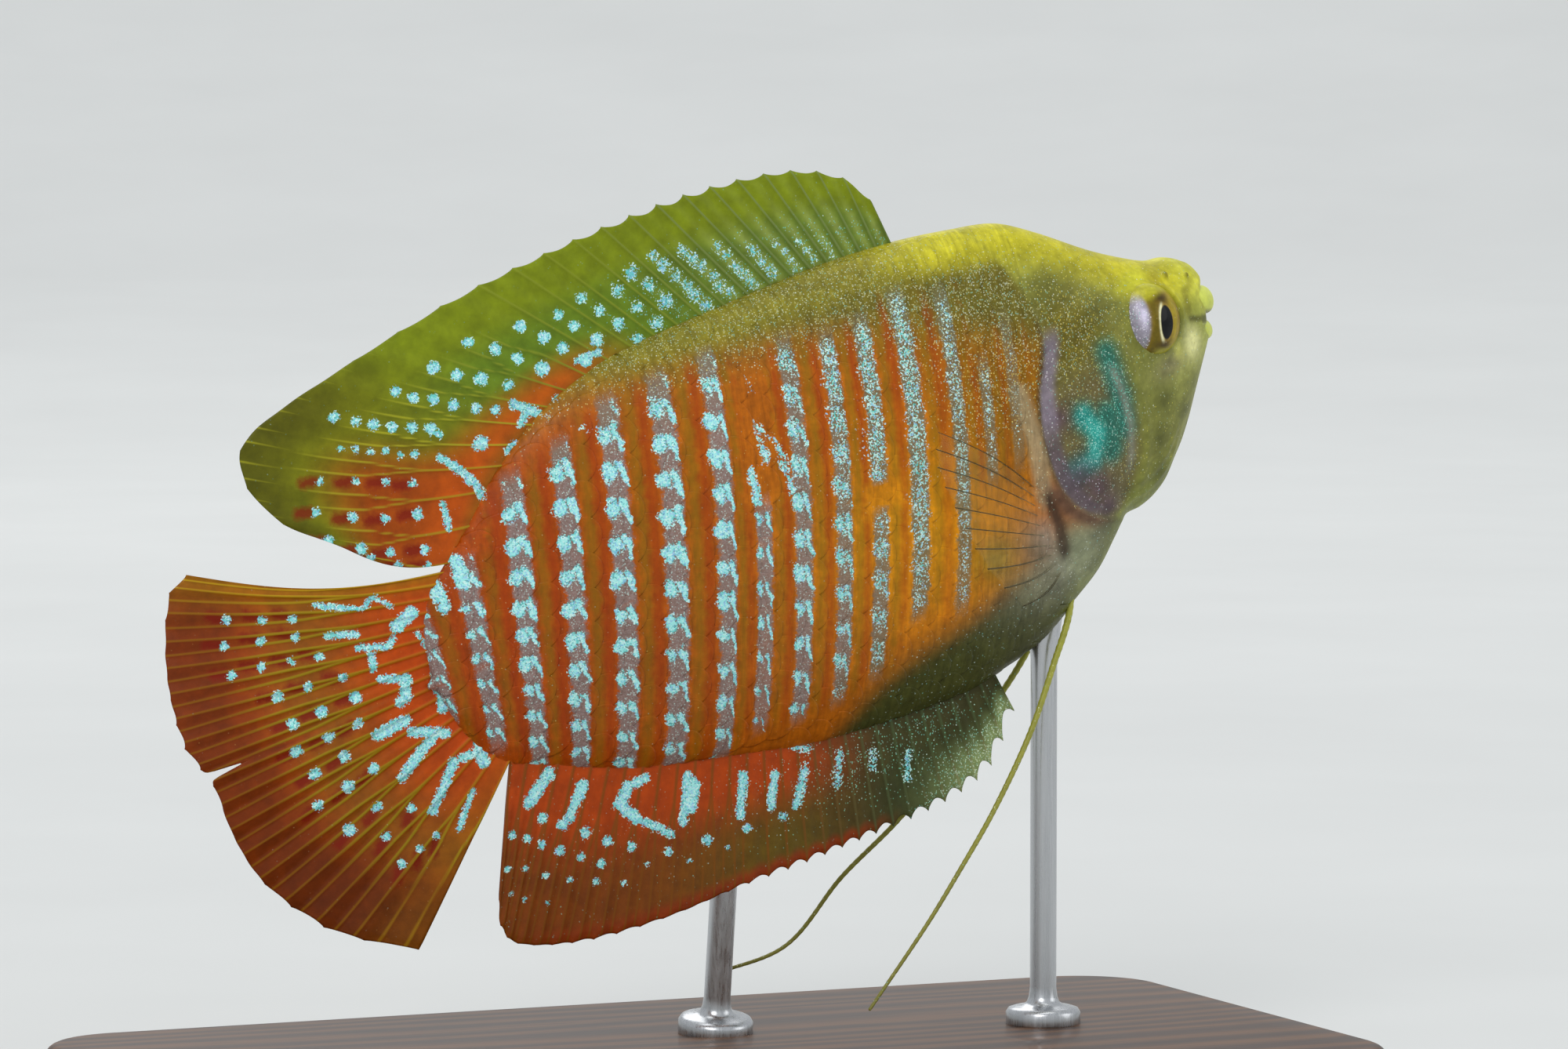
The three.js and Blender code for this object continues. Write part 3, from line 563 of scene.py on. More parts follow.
def leaf(columns, rows):
    """A thin closed sheet to be reshaped, with each point's u, v and the face it is on, 1 or -1."""
    bm = bmesh.new()
    layer = bm.loops.layers.uv.new("OFBake")
    for _ in range(2):
        bmesh.ops.create_grid(bm, x_segments=columns, y_segments=rows, size=1, calc_uvs=True)
    bm.verts.index_update()
    count = len(bm.verts) // 2
    behind = [f for f in bm.faces if f.verts[0].index >= count]
    for face in behind:
        for loop in face.loops:
            loop[layer].uv.x += 1.02
    for face in bm.faces:
        for loop in face.loops:
            loop[layer].uv.x /= 2.02
    bmesh.ops.reverse_faces(bm, faces=behind)
    flat = own_places(bm)
    side = np.where(np.arange(len(flat)) < count, 1.0, -1.0)
    bmesh.ops.bridge_loops(bm, edges=[e for e in bm.edges if e.is_boundary])
    return bm, (flat[:, 0] + 1) / 2, (flat[:, 1] + 1) / 2, side


def add(tree, kind, *values, out=0, **settings):
    """Adds a node, fills or links its inputs in their order and returns one of its outputs."""
    node = tree.nodes.new("ShaderNode" + kind)
    for name, value in settings.items():
        setattr(node, name, value)
    for socket, value in zip(node.inputs, values):
        if isinstance(value, bpy.types.NodeSocket):
            tree.links.new(value, socket)
        elif value is not None:
            socket.default_value = value
    return node.outputs[out] if node.outputs else None


def new_material(name, finish):
    """An empty material whose shader has these plain values. put adds a node and feed links a value."""
    material = bpy.data.materials.new(name)
    material.use_nodes = True
    tree = material.node_tree
    tree.nodes.clear()
    put = partial(add, tree)
    surface = put("BsdfPrincipled")
    put("OutputMaterial", surface)
    sockets = surface.node.inputs
    for socket, value in finish.items():
        sockets[socket].default_value = value

    def feed(**links):
        for socket, value in links.items():
            tree.links.new(value, sockets[socket.replace("_", " ")])

    return material, put, feed


def paint(colour):
    """An sRGB hex value as a node's colour."""
    return (*linear(colour), 1)


# Materials of the fish

GRAIN = 0.09  # a reflecting grain in the skin is about 0.03 mm, too fine to show, so it is drawn this wide
BUMP = 0.06 * MM  # the height of the skin's and fins' finest unevenness


def grains(put, at):
    """Reflecting grains: how near a point is to its grain's middle, and three draws of each grain's own."""
    grain = put("TexVoronoi", at, None, 1 / (GRAIN * MM)).node
    near = put("MapRange", grain.outputs["Distance"], 0.65, 0.3, 0, 1)
    return near, *put("SeparateColor", grain.outputs["Color"]).node.outputs


def shimmer(put, level, draw, other, cyan):
    """The colour of a patch of reflecting grains: teal at its edge, pale cyan inside, some grains blue."""
    tint = put("MixRGB", put("MapRange", level, 0, 0.4, 0, 1), paint("4FC4C0"), cyan)
    tint = put("MixRGB", put("MapRange", draw, 0.6, 0.95, 0, 0.8), tint, paint("E4FFF8"))
    tint = put("MixRGB", put("MapRange", other, 0.74, 0.84, 0, 0.7), tint, paint("8CBCEC"))
    return put("MixRGB", put("MapRange", draw, 0.16, 0.06, 0, 0.6), tint, paint("4A9096"))


def glinting(put, grain, base):
    """Single bright grains scattered over a base colour, as many as the piece's own glitter says."""
    near, draw, other, third = grain
    share = put("Attribute", attribute_name="glitter", out=2)
    few = put("MapRange", put("Math", share, third, operation="SUBTRACT"), 0, 0.03)
    shown = put("Math", few, near, operation="MULTIPLY")
    shown = put("Math", shown, put("MapRange", other, 0, 1, 0.4, 1), operation="MULTIPLY")
    tint = put("Attribute", attribute_name="glint")
    tint = put("MixRGB", put("MapRange", draw, 0.6, 0.9, 0, 0.8), tint, paint("DCEBDC"))
    tint = put("MixRGB", put("MapRange", draw, 0.3, 0.2, 0, 0.8), tint, paint("78C0B0"))
    return put("MixRGB", shown, base, tint)


def uneven(put, at, base, size, low, high):
    """A colour made lighter and darker in soft clouds."""
    cloud = put("TexNoise", at, None, 1 / (size * MM), 3, 0.6)
    return put("VectorMath", base, None, None, put("MapRange", cloud, 0.3, 0.7, low, high), operation="SCALE")


# The bright marks of a bar on one scale, in shares of the bars' spacing and a row's height: their middle
# and half size. The blob is on the bar's side to the tail, and the streak beside it hangs to the belly.
MARK_LEAN = 0.2
BLOB_AT, BLOB_SIZE = (0.61, 0.7), (0.13, 0.27)
STREAK_AT, STREAK_SIZE = (0.27, 0.45), (0.055, 0.42)
BAR_MIDDLE = 0.48
# Stripes of the ground along the bars' edges: middle, half width, colour and strength
GROUND_STRIPES = ((0.07, 0.22, "806A08", 0.5), (0.86, 0.2, "A03602", 0.6))


def mark_shapes(put, cell_x, cell_y):
    """How far a point is from the middle of a bar's nearer bright mark, where 1 is that mark's edge."""

    def off(value, middle, half):
        """How far a value is from a middle, counted in half sizes."""
        return put("Math", value, 1 / half, -middle / half, operation="MULTIPLY_ADD")

    lean = put("Math", cell_y, -MARK_LEAN, cell_x, operation="MULTIPLY_ADD")
    blob_x = off(lean, BLOB_AT[0] - MARK_LEAN * BLOB_AT[1], BLOB_SIZE[0])
    blob_y = off(cell_y, BLOB_AT[1], BLOB_SIZE[1])
    blob = put("VectorMath", put("CombineXYZ", blob_x, blob_y), operation="LENGTH", out=1)
    streak_x = off(lean, STREAK_AT[0], STREAK_SIZE[0])
    streak_y = off(cell_y, STREAK_AT[1], STREAK_SIZE[1])
    taper = put("Math", streak_y, -0.35, 1, operation="MULTIPLY_ADD")
    streak_x = put("Math", streak_x, taper, operation="MULTIPLY")
    streak_y = put("Math", put("Math", streak_y, operation="ABSOLUTE"), 3, operation="POWER")
    streak = put("VectorMath", put("CombineXYZ", streak_x, streak_y), operation="LENGTH", out=1)
    return put("Math", blob, streak, operation="MINIMUM")


def streaked_ground(put, at, lie, strength, cell_x):
    """The ground, streaked along the bars, gold on a bar's side to the head and red brown on its other."""
    base = uneven(put, at, put("Attribute", attribute_name="ground"), 1.4, 0.8, 1.16)
    base = uneven(put, at, base, 0.4, 0.86, 1.14)
    brushed = put("TexNoise", put("VectorMath", lie, (9, 1.1, 0), operation="MULTIPLY"), None, 1, 2, 0.6)
    brushed = put("MapRange", brushed, 0.3, 0.7, 0.8, 1.18)
    base = put("VectorMath", base, None, None, brushed, operation="SCALE")
    for middle, wide, colour, most in GROUND_STRIPES:
        away = put("Math", put("Math", cell_x, middle, operation="SUBTRACT"), 0.5, operation="PINGPONG")
        weight = put("MapRange", away, wide, 0, 0, most, interpolation_type="SMOOTHSTEP")
        weight = put("Math", weight, strength, operation="MULTIPLY")
        base = put("MixRGB", weight, base, paint(colour))
    return base


def scaly_skin(colours):
    """Fish skin under a thin varnish: pigment that looks soft, with hard bright grains set in it."""
    finish = {"Roughness": 0.45, "Specular IOR Level": 0.14, "Coat Weight": 0.04, "Coat Roughness": 0.2}
    material, put, feed = new_material("varnished_fish_skin", finish)
    at = put("TexCoord", out=3)
    lie = put("Attribute", attribute_name="lie", out=1)
    strength = put("SeparateXYZ", lie, out=2)
    order = put("Attribute", attribute_name="order", out=2)
    grain = grains(put, at)
    near, draw, other, _ = grain
    # The bars repeat once for each bar and each row of scales. A coarse wobble makes no two marks alike.
    wobble = put("TexNoise", at, None, 1 / (0.7 * MM), 2, 0.6, out=1)
    wobbled = put("VectorMath", wobble, (0.2, 0.5, 0), lie, operation="MULTIPLY_ADD")
    cell = put("VectorMath", wobbled, (0.4, 0.25, 0), operation="ADD")
    cell = put("VectorMath", cell, operation="FRACTION")
    cell_x, cell_y, _ = put("SeparateXYZ", cell).node.outputs
    nearest = mark_shapes(put, cell_x, cell_y)
    formed = put("Math", strength, 1.25, -0.2, operation="MULTIPLY_ADD")
    formed = put("Math", formed, nearest, operation="SUBTRACT")
    # Strokes between the bars and at the dorsal fin's root, with a ragged edge
    stroke = put("Math", put("Attribute", attribute_name="stroke", out=2), -2.5, operation="MULTIPLY")
    stroke = put("Math", stroke, put("SeparateXYZ", wobble), operation="ADD")
    stroke = put("Math", stroke, 0.5, operation="SUBTRACT")
    formed = put("Math", formed, stroke, operation="MAXIMUM")
    # Towards the head and belly the marks dissolve into loose grains over the bar's whole width
    across = put("Math", put("Math", cell_x, BAR_MIDDLE, operation="SUBTRACT"), operation="ABSOLUTE")
    loose = put("Math", strength, put("MapRange", across, 0, 0.3, -0.85, -1.6), operation="ADD")
    jitter = put("Math", draw, 0.5, operation="SUBTRACT")
    formed = put("Math", jitter, 0.5, formed, operation="MULTIPLY_ADD")
    loose = put("Math", jitter, 1.3, loose, operation="MULTIPLY_ADD")
    level = put("Mix", order, None, loose, formed)
    bright = put("MapRange", level, -0.08, 0.08)
    edge = put("Math", jitter, 0.06, across, operation="MULTIPLY_ADD")
    silver = put("MapRange", edge, 0.24, 0.15, interpolation_type="SMOOTHSTEP")
    silver = put("Math", silver, put("MapRange", strength, 0.05, 0.7), operation="MULTIPLY")
    # Silver mauve grains fill the bars, and the bright marks lie on them
    base = streaked_ground(put, at, lie, strength, cell_x)
    mauve = put("MixRGB", draw, (*colours.mauve, 1), paint("958A88"))
    mauve = put("MixRGB", order, paint("726E50"), mauve)
    pale = put("Math", put("MapRange", other, 0.78, 0.88, 0, 0.8), near, operation="MULTIPLY")
    mauve = put("MixRGB", pale, mauve, paint("CDEDE6"))
    base = put("MixRGB", put("Math", silver, 0.85, operation="MULTIPLY"), base, mauve)
    base = glinting(put, grain, base)
    cyan = put("MixRGB", order, paint("8CD4BE"), (*colours.cyan, 1))
    base = put("MixRGB", bright, base, shimmer(put, level, draw, other, cyan))
    rim = put("MapRange", put("Attribute", attribute_name="rim", out=2), 0.8, 1, 1, 0.97)
    feed(Base_Color=put("VectorMath", base, None, None, rim, operation="SCALE"))
    feed(Roughness=put("MapRange", bright, 0, 1, 0.45, 0.3))
    rough = put("TexNoise", at, None, 1 / (0.25 * MM), 1)
    feed(Normal=put("Bump", 0.25, BUMP, None, rough))
    return material


def fin_skin(name, colours):
    """Fin membrane on bony rays: a thin, slightly glossy film with bright spots of reflecting grains."""
    material, put, feed = new_material(name, {"Specular IOR Level": 0.16, "Coat Weight": 0.04})
    at = put("TexCoord", out=3)
    grain = grains(put, at)
    near, draw, other, _ = grain
    jitter = put("Math", draw, 0.5, operation="SUBTRACT")
    base = uneven(put, at, put("Attribute", attribute_name="ground"), 1.1, 0.8, 1.18)
    ragged = put("TexNoise", at, None, 1 / (0.4 * MM), 3, 0.7)
    shade = put("Attribute", attribute_name="shade", out=2)
    shade = put("Math", ragged, 0.6, shade, operation="MULTIPLY_ADD")
    base = put("MixRGB", put("MapRange", shade, 0.6, 0.2, 0, 0.85), base, paint("7E1602"))
    rib = put("Attribute", attribute_name="rib", out=2)
    tint = put("Attribute", attribute_name="rib_tint")
    base = put("MixRGB", put("MapRange", rib, 0.25, 0.8, 0, 0.75), base, tint)
    base = glinting(put, grain, base)
    # A spot's outline is ragged, and a hazy one is only a cloud of loose grains
    level = put("Math", put("Attribute", attribute_name="mark", out=2), -3.2, -0.75, operation="MULTIPLY_ADD")
    level = put("Math", ragged, 1.5, level, operation="MULTIPLY_ADD")
    haze = put("Attribute", attribute_name="haze", out=2)
    level = put("Math", jitter, haze, level, operation="MULTIPLY_ADD")
    bright = put("MapRange", level, -0.08, 0.08)
    tint = put("Math", level, 0.5, operation="MULTIPLY")
    cyan = put("MixRGB", put("MapRange", haze, 0.8, 2, 0, 1), (*colours.cyan, 1), paint("5FBCC4"))
    base = put("MixRGB", bright, base, shimmer(put, tint, draw, other, cyan))
    feed(Base_Color=base)
    feed(Roughness=put("MapRange", bright, 0, 1, 0.5, 0.3))
    rough = put("TexNoise", at, None, 1 / (0.3 * MM), 2)
    feed(Normal=put("Bump", 0.3, BUMP, None, rough))
    return material


def clear_fin():
    """Clear fin membrane: almost invisible film between thin dark rays."""
    material, put, feed = new_material("clear_fin_membrane", {"Roughness": 0.3, "Specular IOR Level": 0.2})
    at = put("TexCoord", out=3)
    shown = put("MapRange", put("Attribute", attribute_name="rib", out=2), 0.3, 0.8, 0, 1)
    film = uneven(put, at, linear("B0A878"), 0.8, 0.85, 1.15)
    feed(Base_Color=put("MixRGB", shown, film, put("Attribute", attribute_name="ground")))
    feed(Alpha=put("MapRange", shown, 0, 1, 0.05, 0.7))
    return material


def glass_eye():
    """A painted eye under a clear coat: dark and smooth, with one soft highlight."""
    finish = {"Roughness": 0.4, "Specular IOR Level": 0.12, "Coat Weight": 0.15, "Coat Roughness": 0.05}
    material, put, feed = new_material("clear_coated_eye", finish)
    at = put("TexCoord", out=3)
    base = uneven(put, at, put("Attribute", attribute_name="ground"), 0.35, 0.8, 1.2)
    feed(Base_Color=glinting(put, grains(put, at), base))
    return material


def soft_skin(name):
    """Soft wet skin without scales: finely uneven, with a dull shine."""
    finish = {"Roughness": 0.45, "Specular IOR Level": 0.35, "Coat Weight": 0.1}
    material, put, feed = new_material(name, finish)
    at = put("TexCoord", out=3)
    base = uneven(put, at, put("Attribute", attribute_name="ground"), 0.7, 0.85, 1.12)
    feed(Base_Color=glinting(put, grains(put, at), base))
    rough = put("TexNoise", at, None, 1 / (0.25 * MM), 3)
    feed(Normal=put("Bump", 0.35, BUMP, None, rough))
    return material


# The body's own shape, with all its relief


def fish_points(s, angle, lift=0):
    """Points of the skin in the fish's frame, with its relief and the eye sockets."""
    h, y = section(s, angle)
    raised = relief(s, h) * smooth(np.abs(y), 0.1, 0.6) + lift
    back = MOUTH_DEPTH * (1 - smooth(s, 0.5, 3.1)) * (1 - smooth(np.abs(h - 0.1), 0.9, 2.0))
    s, h, y = (at + out * raised for at, out in zip((s, h, y), outwards(s, angle).T))
    s = s + back
    hand = np.where(y > 0, 1.0, -1.0)
    along, up, out = eye_axes(s, h, y, hand)
    ring = np.hypot(along / EYE_RADII[0], up / EYE_RADII[1])
    ball_out = EYE_RADII[2] * np.sqrt(np.clip(1 - ring**2, 0, 1))
    facing = out > 0
    inside = (1 - smooth(ring, SOCKET - 0.03, SOCKET + 0.09)) * facing
    out = out + (np.minimum(out, ball_out - SOCKET_DEPTH) - out) * inside
    out = out + LID_RISE * hump(ring, SOCKET + 0.11, 0.07) * facing
    return eye_place(along, up, out, hand)


def skin_attributes(s, angle, arc, colours):
    """What the skin's material reads at points of the body."""
    h, y = section(s, angle)
    bar, strength = bars_at(s, h)
    ground, glint, share = markings(s, h, colours)
    row = arc / ROW_HEIGHT(s)
    order = smooth(s, 27, 37) * smooth(h, grey_line(s) + 1, grey_line(s) + 5) * (1 - 0.5 * smooth(h, 8, 11))
    lie = np.stack([bar, row, strength], -1)
    return {
        "lie": lie, "ground": ground, "glint": glint, "glitter": share, "order": 0.1 + 0.9 * order,
        "stroke": distance_to(s, h, FLANK_STROKES + ROOT_STROKES),
    }


SKIN_SIDES, SKIN_RINGS = 200, 380
SKIN_NODES = (
    "head", "gill_cover_right", "gill_cover_left", "trunk_front", "trunk_middle", "trunk_rear", "tail_stalk",
)


def skin_piece(material, colours):
    """One skin over the head and trunk, from the snout to the root of the tail fin."""
    bm, t, angle = ball(SKIN_SIDES, SKIN_RINGS)
    s = BODY_FRONT + (BODY_END - BODY_FRONT) * ((1 - np.cos(math.pi * t)) / 2) ** 1.2
    drawn(bm, place(*fish_points(s, angle)))
    face_out(bm)
    attributes = skin_attributes(s, angle, girth.arc_at(s, angle), colours)
    return piece("skin", bm, material, SKIN_NODES, {**attributes, "rim": np.zeros(len(s))})


SCALE_GRID = 7
SCALE_ROWS = 21
SCALE_LONG, SCALE_TALL = 1.35, 1.22  # half a scale's length and height
SCALE_THICK = 0.03
SCALE_SUNK = 0.07
FIRST_SCALE, LAST_SCALE = 13.5, 58.2
BARE_BEHIND_SLIT = 2.2
BARE_BREAST = (19.5, -6)  # no scales before this s under this h


def scale_piece(name, hand, material, colours, sizes):
    """One side's scales, each rooted in the skin towards the head and free towards the tail."""
    plate, u, v, face = leaf(SCALE_GRID, SCALE_GRID)
    template = bpy.data.meshes.new("scale_template")
    plate.to_mesh(template)
    plate.free()
    # The points crowd towards the rim, which keeps the rounded edge thin
    a, b = np.sin((u - 0.5) * math.pi), np.sin((v - 0.5) * math.pi)
    x, y = a * np.sqrt(1 - b * b / 2), b * np.sqrt(1 - a * a / 2)
    to_rim = np.maximum(np.abs(a), np.abs(b))
    step, rise = sizes.scale_step / MM, sizes.scale_rise / MM
    columns = int((LAST_SCALE - FIRST_SCALE) / step) + 1
    row, column = np.divmod(np.arange(SCALE_ROWS * columns), columns)
    shift = column + 0.5 * (row % 2)
    centre_s = FIRST_SCALE + shift * step
    centre_arc = (row - SCALE_ROWS // 2) * ROW_HEIGHT(centre_s) * sizes.scale_row / MM / SCALE_ROW
    centre_h = section(centre_s, girth.angle_at(centre_s, centre_arc))[0]
    edge = girth.arc_at(centre_s, np.where(centre_arc > 0, 0.0, math.pi))
    kept = (np.abs(centre_arc) < 0.97 * np.abs(edge)) & (centre_s < LAST_SCALE)
    kept &= centre_s - gill_slit(centre_h) > BARE_BEHIND_SLIT
    kept &= (centre_s > BARE_BREAST[0]) | (centre_h > BARE_BREAST[1])
    centre_s, centre_arc, shift, row = centre_s[kept], centre_arc[kept], shift[kept], row[kept]
    bm = bmesh.new()
    for _ in centre_s:
        bm.from_mesh(template)
    bpy.data.meshes.remove(template)
    count = len(centre_s)
    tall = SCALE_TALL * ROW_HEIGHT(centre_s) / SCALE_ROW
    s = (centre_s[:, None] + SCALE_LONG * x).ravel()
    arc = (centre_arc[:, None] + tall[:, None] * y).ravel()
    angle = np.clip(girth.angle_at(s, arc), 0.03, math.pi - 0.03)
    feathered = SCALE_THICK / 2 * (1 - 0.85 * to_rim**4)
    lift = -SCALE_SUNK + (SCALE_SUNK + rise) * (x + 1) / 2 - 0.03 * y * y + face * feathered
    drawn(bm, place(*fish_points(s, hand * angle, np.tile(lift, count))))
    # Each scale has a patch of its own on the side's unwrap, its outer face beside its inner one
    layer = bm.loops.layers.uv.active
    bm.verts.index_update()
    patch_u = (shift[:, None] + 0.05 + 0.7 * u + np.where(face < 0, 0.78, 0)).ravel() / (columns + 1)
    patch_v = (row[:, None] + 0.05 + 0.9 * v).ravel() / SCALE_ROWS
    for f in bm.faces:
        for loop in f.loops:
            loop[layer].uv = patch_u[loop.vert.index], patch_v[loop.vert.index]
    attributes = skin_attributes(s, angle, arc, colours)
    attributes["rim"] = np.tile(to_rim * (x > 0), count)
    if hand > 0:
        bmesh.ops.reverse_faces(bm, faces=bm.faces[:])
    return piece(name, bm, material, (), attributes)


EYE_MESH = 144  # points round an eyeball, and from pole to pole
PUPIL_LEAN = 0.33  # the pupil's long axis leans forward from the body's own upright, in radians
PUPIL_WIDE, PUPIL_TALL, PUPIL_DROP = 0.56, 1.1, 0.25


def eye_piece(name, hand, node, material):
    """An eyeball whose pole is the middle of its pupil."""
    bm, t, angle = ball(EYE_MESH, EYE_MESH)
    t = t**1.4  # the rings crowd round the pupil, where the paint is finest
    wide = np.sin(math.pi * t)
    along, up = EYE_RADII[0] * wide * np.cos(angle), EYE_RADII[1] * wide * np.sin(angle)
    out = np.cos(math.pi * t)
    drawn(bm, place(*eye_place(along, up, EYE_RADII[2] * out, hand)))
    face_out(bm)
    back = along * math.cos(PUPIL_LEAN) + up * math.sin(PUPIL_LEAN)
    rise = up * math.cos(PUPIL_LEAN) - along * math.sin(PUPIL_LEAN)
    pupil = np.hypot(back / PUPIL_WIDE, (rise + PUPIL_DROP) / PUPIL_TALL)
    front = 1 - smooth(back, 0.2, 0.9)
    rear_rim = smooth(back, 0.0, 0.4)
    silver = smooth(back, 1.15, 1.4) * (1 - smooth(np.abs(rise + 0.2), 1.2, 2.1))
    ground = mixed(
        "8A7012",
        ("6E5E10", hump(back, 0.85, 0.4)),
        ("A8920C", hump(back, -0.85, 0.5)),
        ("3E2E08", 0.95 * spot(back, rise, 0.05, 1.35, 0.6, 0.5)),
        ("3E2E08", 0.95 * spot(back, rise, 0.05, -1.75, 0.6, 0.5)),
        ("A09A2A", smooth(np.hypot(back, rise), 1.7, 2.1) * front),
        ("B8B428", 0.9 * smooth(up, 1.25, 1.9)),
        ("908A94", silver),
        # A painted highlight: the pale lilac core laid on the silver crescent
        ("E4DCF4", 0.85 * spot(back, rise, 1.6, 0.35, 0.26, 0.9)),
        ("ECE8B8", np.minimum(1.2 * hump(pupil, 1.1, 0.12) * rear_rim, 1)),
        ("A88A3C", 0.5 * hump(pupil, 1.07, 0.08) * (1 - rear_rim)),
        ("06080A", 1 - smooth(pupil, 0.93, 1.03)),
    )
    share = np.where((pupil > 1.1) & (out > 0), 0.02 + 0.3 * silver, 0)
    return piece(name, bm, material, (node,), speckled(ground, "F0E8F8", share))


def path_through(points):
    """A smooth path through points of the fish's frame, read by its share of the whole length."""
    points = np.array(points, float)
    chord = np.concatenate([[0], np.cumsum(np.linalg.norm(np.diff(points, axis=0), axis=1))])
    lines = [through(list(zip(chord / chord[-1], values))) for values in points.T]
    return lambda share: np.stack([line(share) for line in lines], -1)


ROUND_END = 6  # how many rings round off each end of a tube


def tube(sides, rings, path, radius_at, across, flatness=1):
    """A round-ended tube along a path of the fish's frame."""
    bm, t, angle = ball(sides, rings)
    end = ROUND_END / rings
    share = np.clip((t - end) / (1 - 2 * end), 0, 1)
    beyond = (np.maximum((t - 1 + end) / end, 0) - np.maximum((end - t) / end, 0)) * math.pi / 2
    middle = path(share)
    ahead = path(np.minimum(share + 0.004, 1)) - path(np.maximum(share - 0.004, 0))
    ahead /= np.linalg.norm(ahead, axis=1, keepdims=True)
    out = np.cross(across, ahead)
    out /= np.linalg.norm(out, axis=1, keepdims=True)
    side = np.cross(ahead, out)
    r = radius_at(share)
    ring = r * np.cos(beyond)
    points = middle + ahead * (r * np.sin(beyond))[:, None]
    points = points + out * (ring * flatness * np.cos(angle))[:, None]
    points = points + side * (ring * np.sin(angle))[:, None]
    drawn(bm, place(*points.T))
    face_out(bm)
    return bm, share, points


# Routes of the lips along one side, from the corner of the mouth to the front
UPPER_LIP = [(3.2, 0.8, 2.0), (2.2, 0.95, 1.7), (1.2, 0.5, 0.9), (0.85, 0.3, 0)]
LOWER_LIP = [(3.3, -0.2, 2.0), (2.4, -0.85, 1.6), (1.75, -1.35, 0.8), (1.5, -1.5, 0)]
# Each lip's route, the side of it that faces the mouth and is painted darker as shade, its radius at its
# middle and corners, and its node
LIPS = {
    "upper_lip": (UPPER_LIP, -1, 0.95, 0.4, "upper_jaw"),
    "lower_lip": (LOWER_LIP, 1, 0.66, 0.36, "lower_jaw"),
}
LIP_SIDES, LIP_RINGS = 40, 120


def lip_piece(name, side, facing, middle, corner, node, material, colours):
    """A lip: a soft roll round the front of a jaw, from corner to corner, painted darker as shade on its side
    towards the mouth.
    """
    path = path_through([(s, h, -y) for s, h, y in side] + side[-2::-1])

    def radius_at(share):
        return corner + (middle - corner) * np.sin(math.pi * share)

    bm, share, points = tube(LIP_SIDES, LIP_RINGS, path, radius_at, (0, 1, 0), 0.8)
    # Painted shade: the lip's side towards the mouth is darkened
    inner = smooth(facing * (points[:, 1] - path(share)[:, 1]) / radius_at(share), 0.7, 0.98)
    ground = np.tile(colours.lip, (len(share), 1))
    ground += (np.array(linear("5A5020")) - ground) * 0.8 * inner[:, None]
    return piece(name, bm, material, (node,), speckled(ground, "E8E4A8", 0.04))


THREADS = {
    "right": [
        (17.4, -12.2, -1.1), (18.8, -13.9, -1.8), (20.8, -15.8, -2.2), (24.5, -19.1, -3), (29.1, -22.3, -3.9),
        (33.3, -24.7, -4.7), (36.8, -26.7, -5.1), (42.6, -29.5, -6),
    ],
    "left": [
        (17.4, -12.2, 1.1), (18.6, -13.9, 1.7), (22.4, -17, 2.4), (27.5, -19.8, 3), (32.8, -22.3, 3.6),
        (37.2, -24.2, 4.7), (42, -26.9, 5.9), (47, -26.7, 7),
    ],
}
THREAD_SIDES, THREAD_RINGS = 14, 360
THREAD_ROOT, THREAD_THINNING = 0.23, 0.12  # the radius at the root, and how much of it is gone at the tip


def thread_piece(name, path, nodes, material):
    """A pelvic fin drawn out into one long, tapering, faintly ringed thread."""

    def radius_at(share):
        return (THREAD_ROOT - THREAD_THINNING * share) * (1 + 0.05 * np.sin(share * 420))

    bm, share, _ = tube(THREAD_SIDES, THREAD_RINGS, path_through(path), radius_at, (0, 0, 1))
    ground = mixed("A6A63C", ("7E7A30", share))
    return piece(name, bm, material, nodes, speckled(ground, "D8D890", 0.06))


# Fins


class FinPlan:
    """A fin between its root line and its margin, both given at each ray's number.

    notch is how far the margin is cut in between two rays, bow how far a ray bends within the fin and
    sway how far the fin leans to a side. forks is 1 where the rays fork, and width is half a ray's width.
    """

    def __init__(self, root, margin, notch, bow, sway, forks=lambda ray: 0 * ray, width=0.13):
        self.root, self.margin, self.notch, self.bow, self.sway = root, margin, notch, bow, sway
        self.forks, self.width = forks, width

    def at(self, ray, share):
        """The fish's s, h and y at a share of the way out along a ray."""
        root, margin = np.array(self.root(ray)), np.array(self.margin(ray))
        way = margin - root
        span = np.hypot(way[0], way[1])
        bow = self.bow(ray) * np.sin(math.pi * share)
        s = root[0] + way[0] * share - way[1] / span * bow
        h = root[1] + way[1] * share + way[0] / span * bow
        return s, h, root[2] + way[2] * share + self.sway(ray, share)

    def gap(self, ray, share):
        """The space between two rays, in millimetres."""
        ahead, behind = self.at(ray + 0.05, share), self.at(ray - 0.05, share)
        return np.hypot(ahead[0] - behind[0], ahead[1] - behind[1]) / 0.1

    def length(self, ray):
        """How long a ray is from its root to the margin."""
        start, end = self.root(ray), self.margin(ray)
        return np.hypot(end[0] - start[0], end[1] - start[1])


FIN_ROOT = 1.1  # how deep a fin's root line lies in the body
FIN_FOLD = 0.07  # how far a fin's skin hangs to one side between two rays
FIN_EDGE = 0.2  # the share of its thickness that a fin keeps at its margin
RAY_LOSS = 0.012  # the share of its length that a ray may lose at its tip


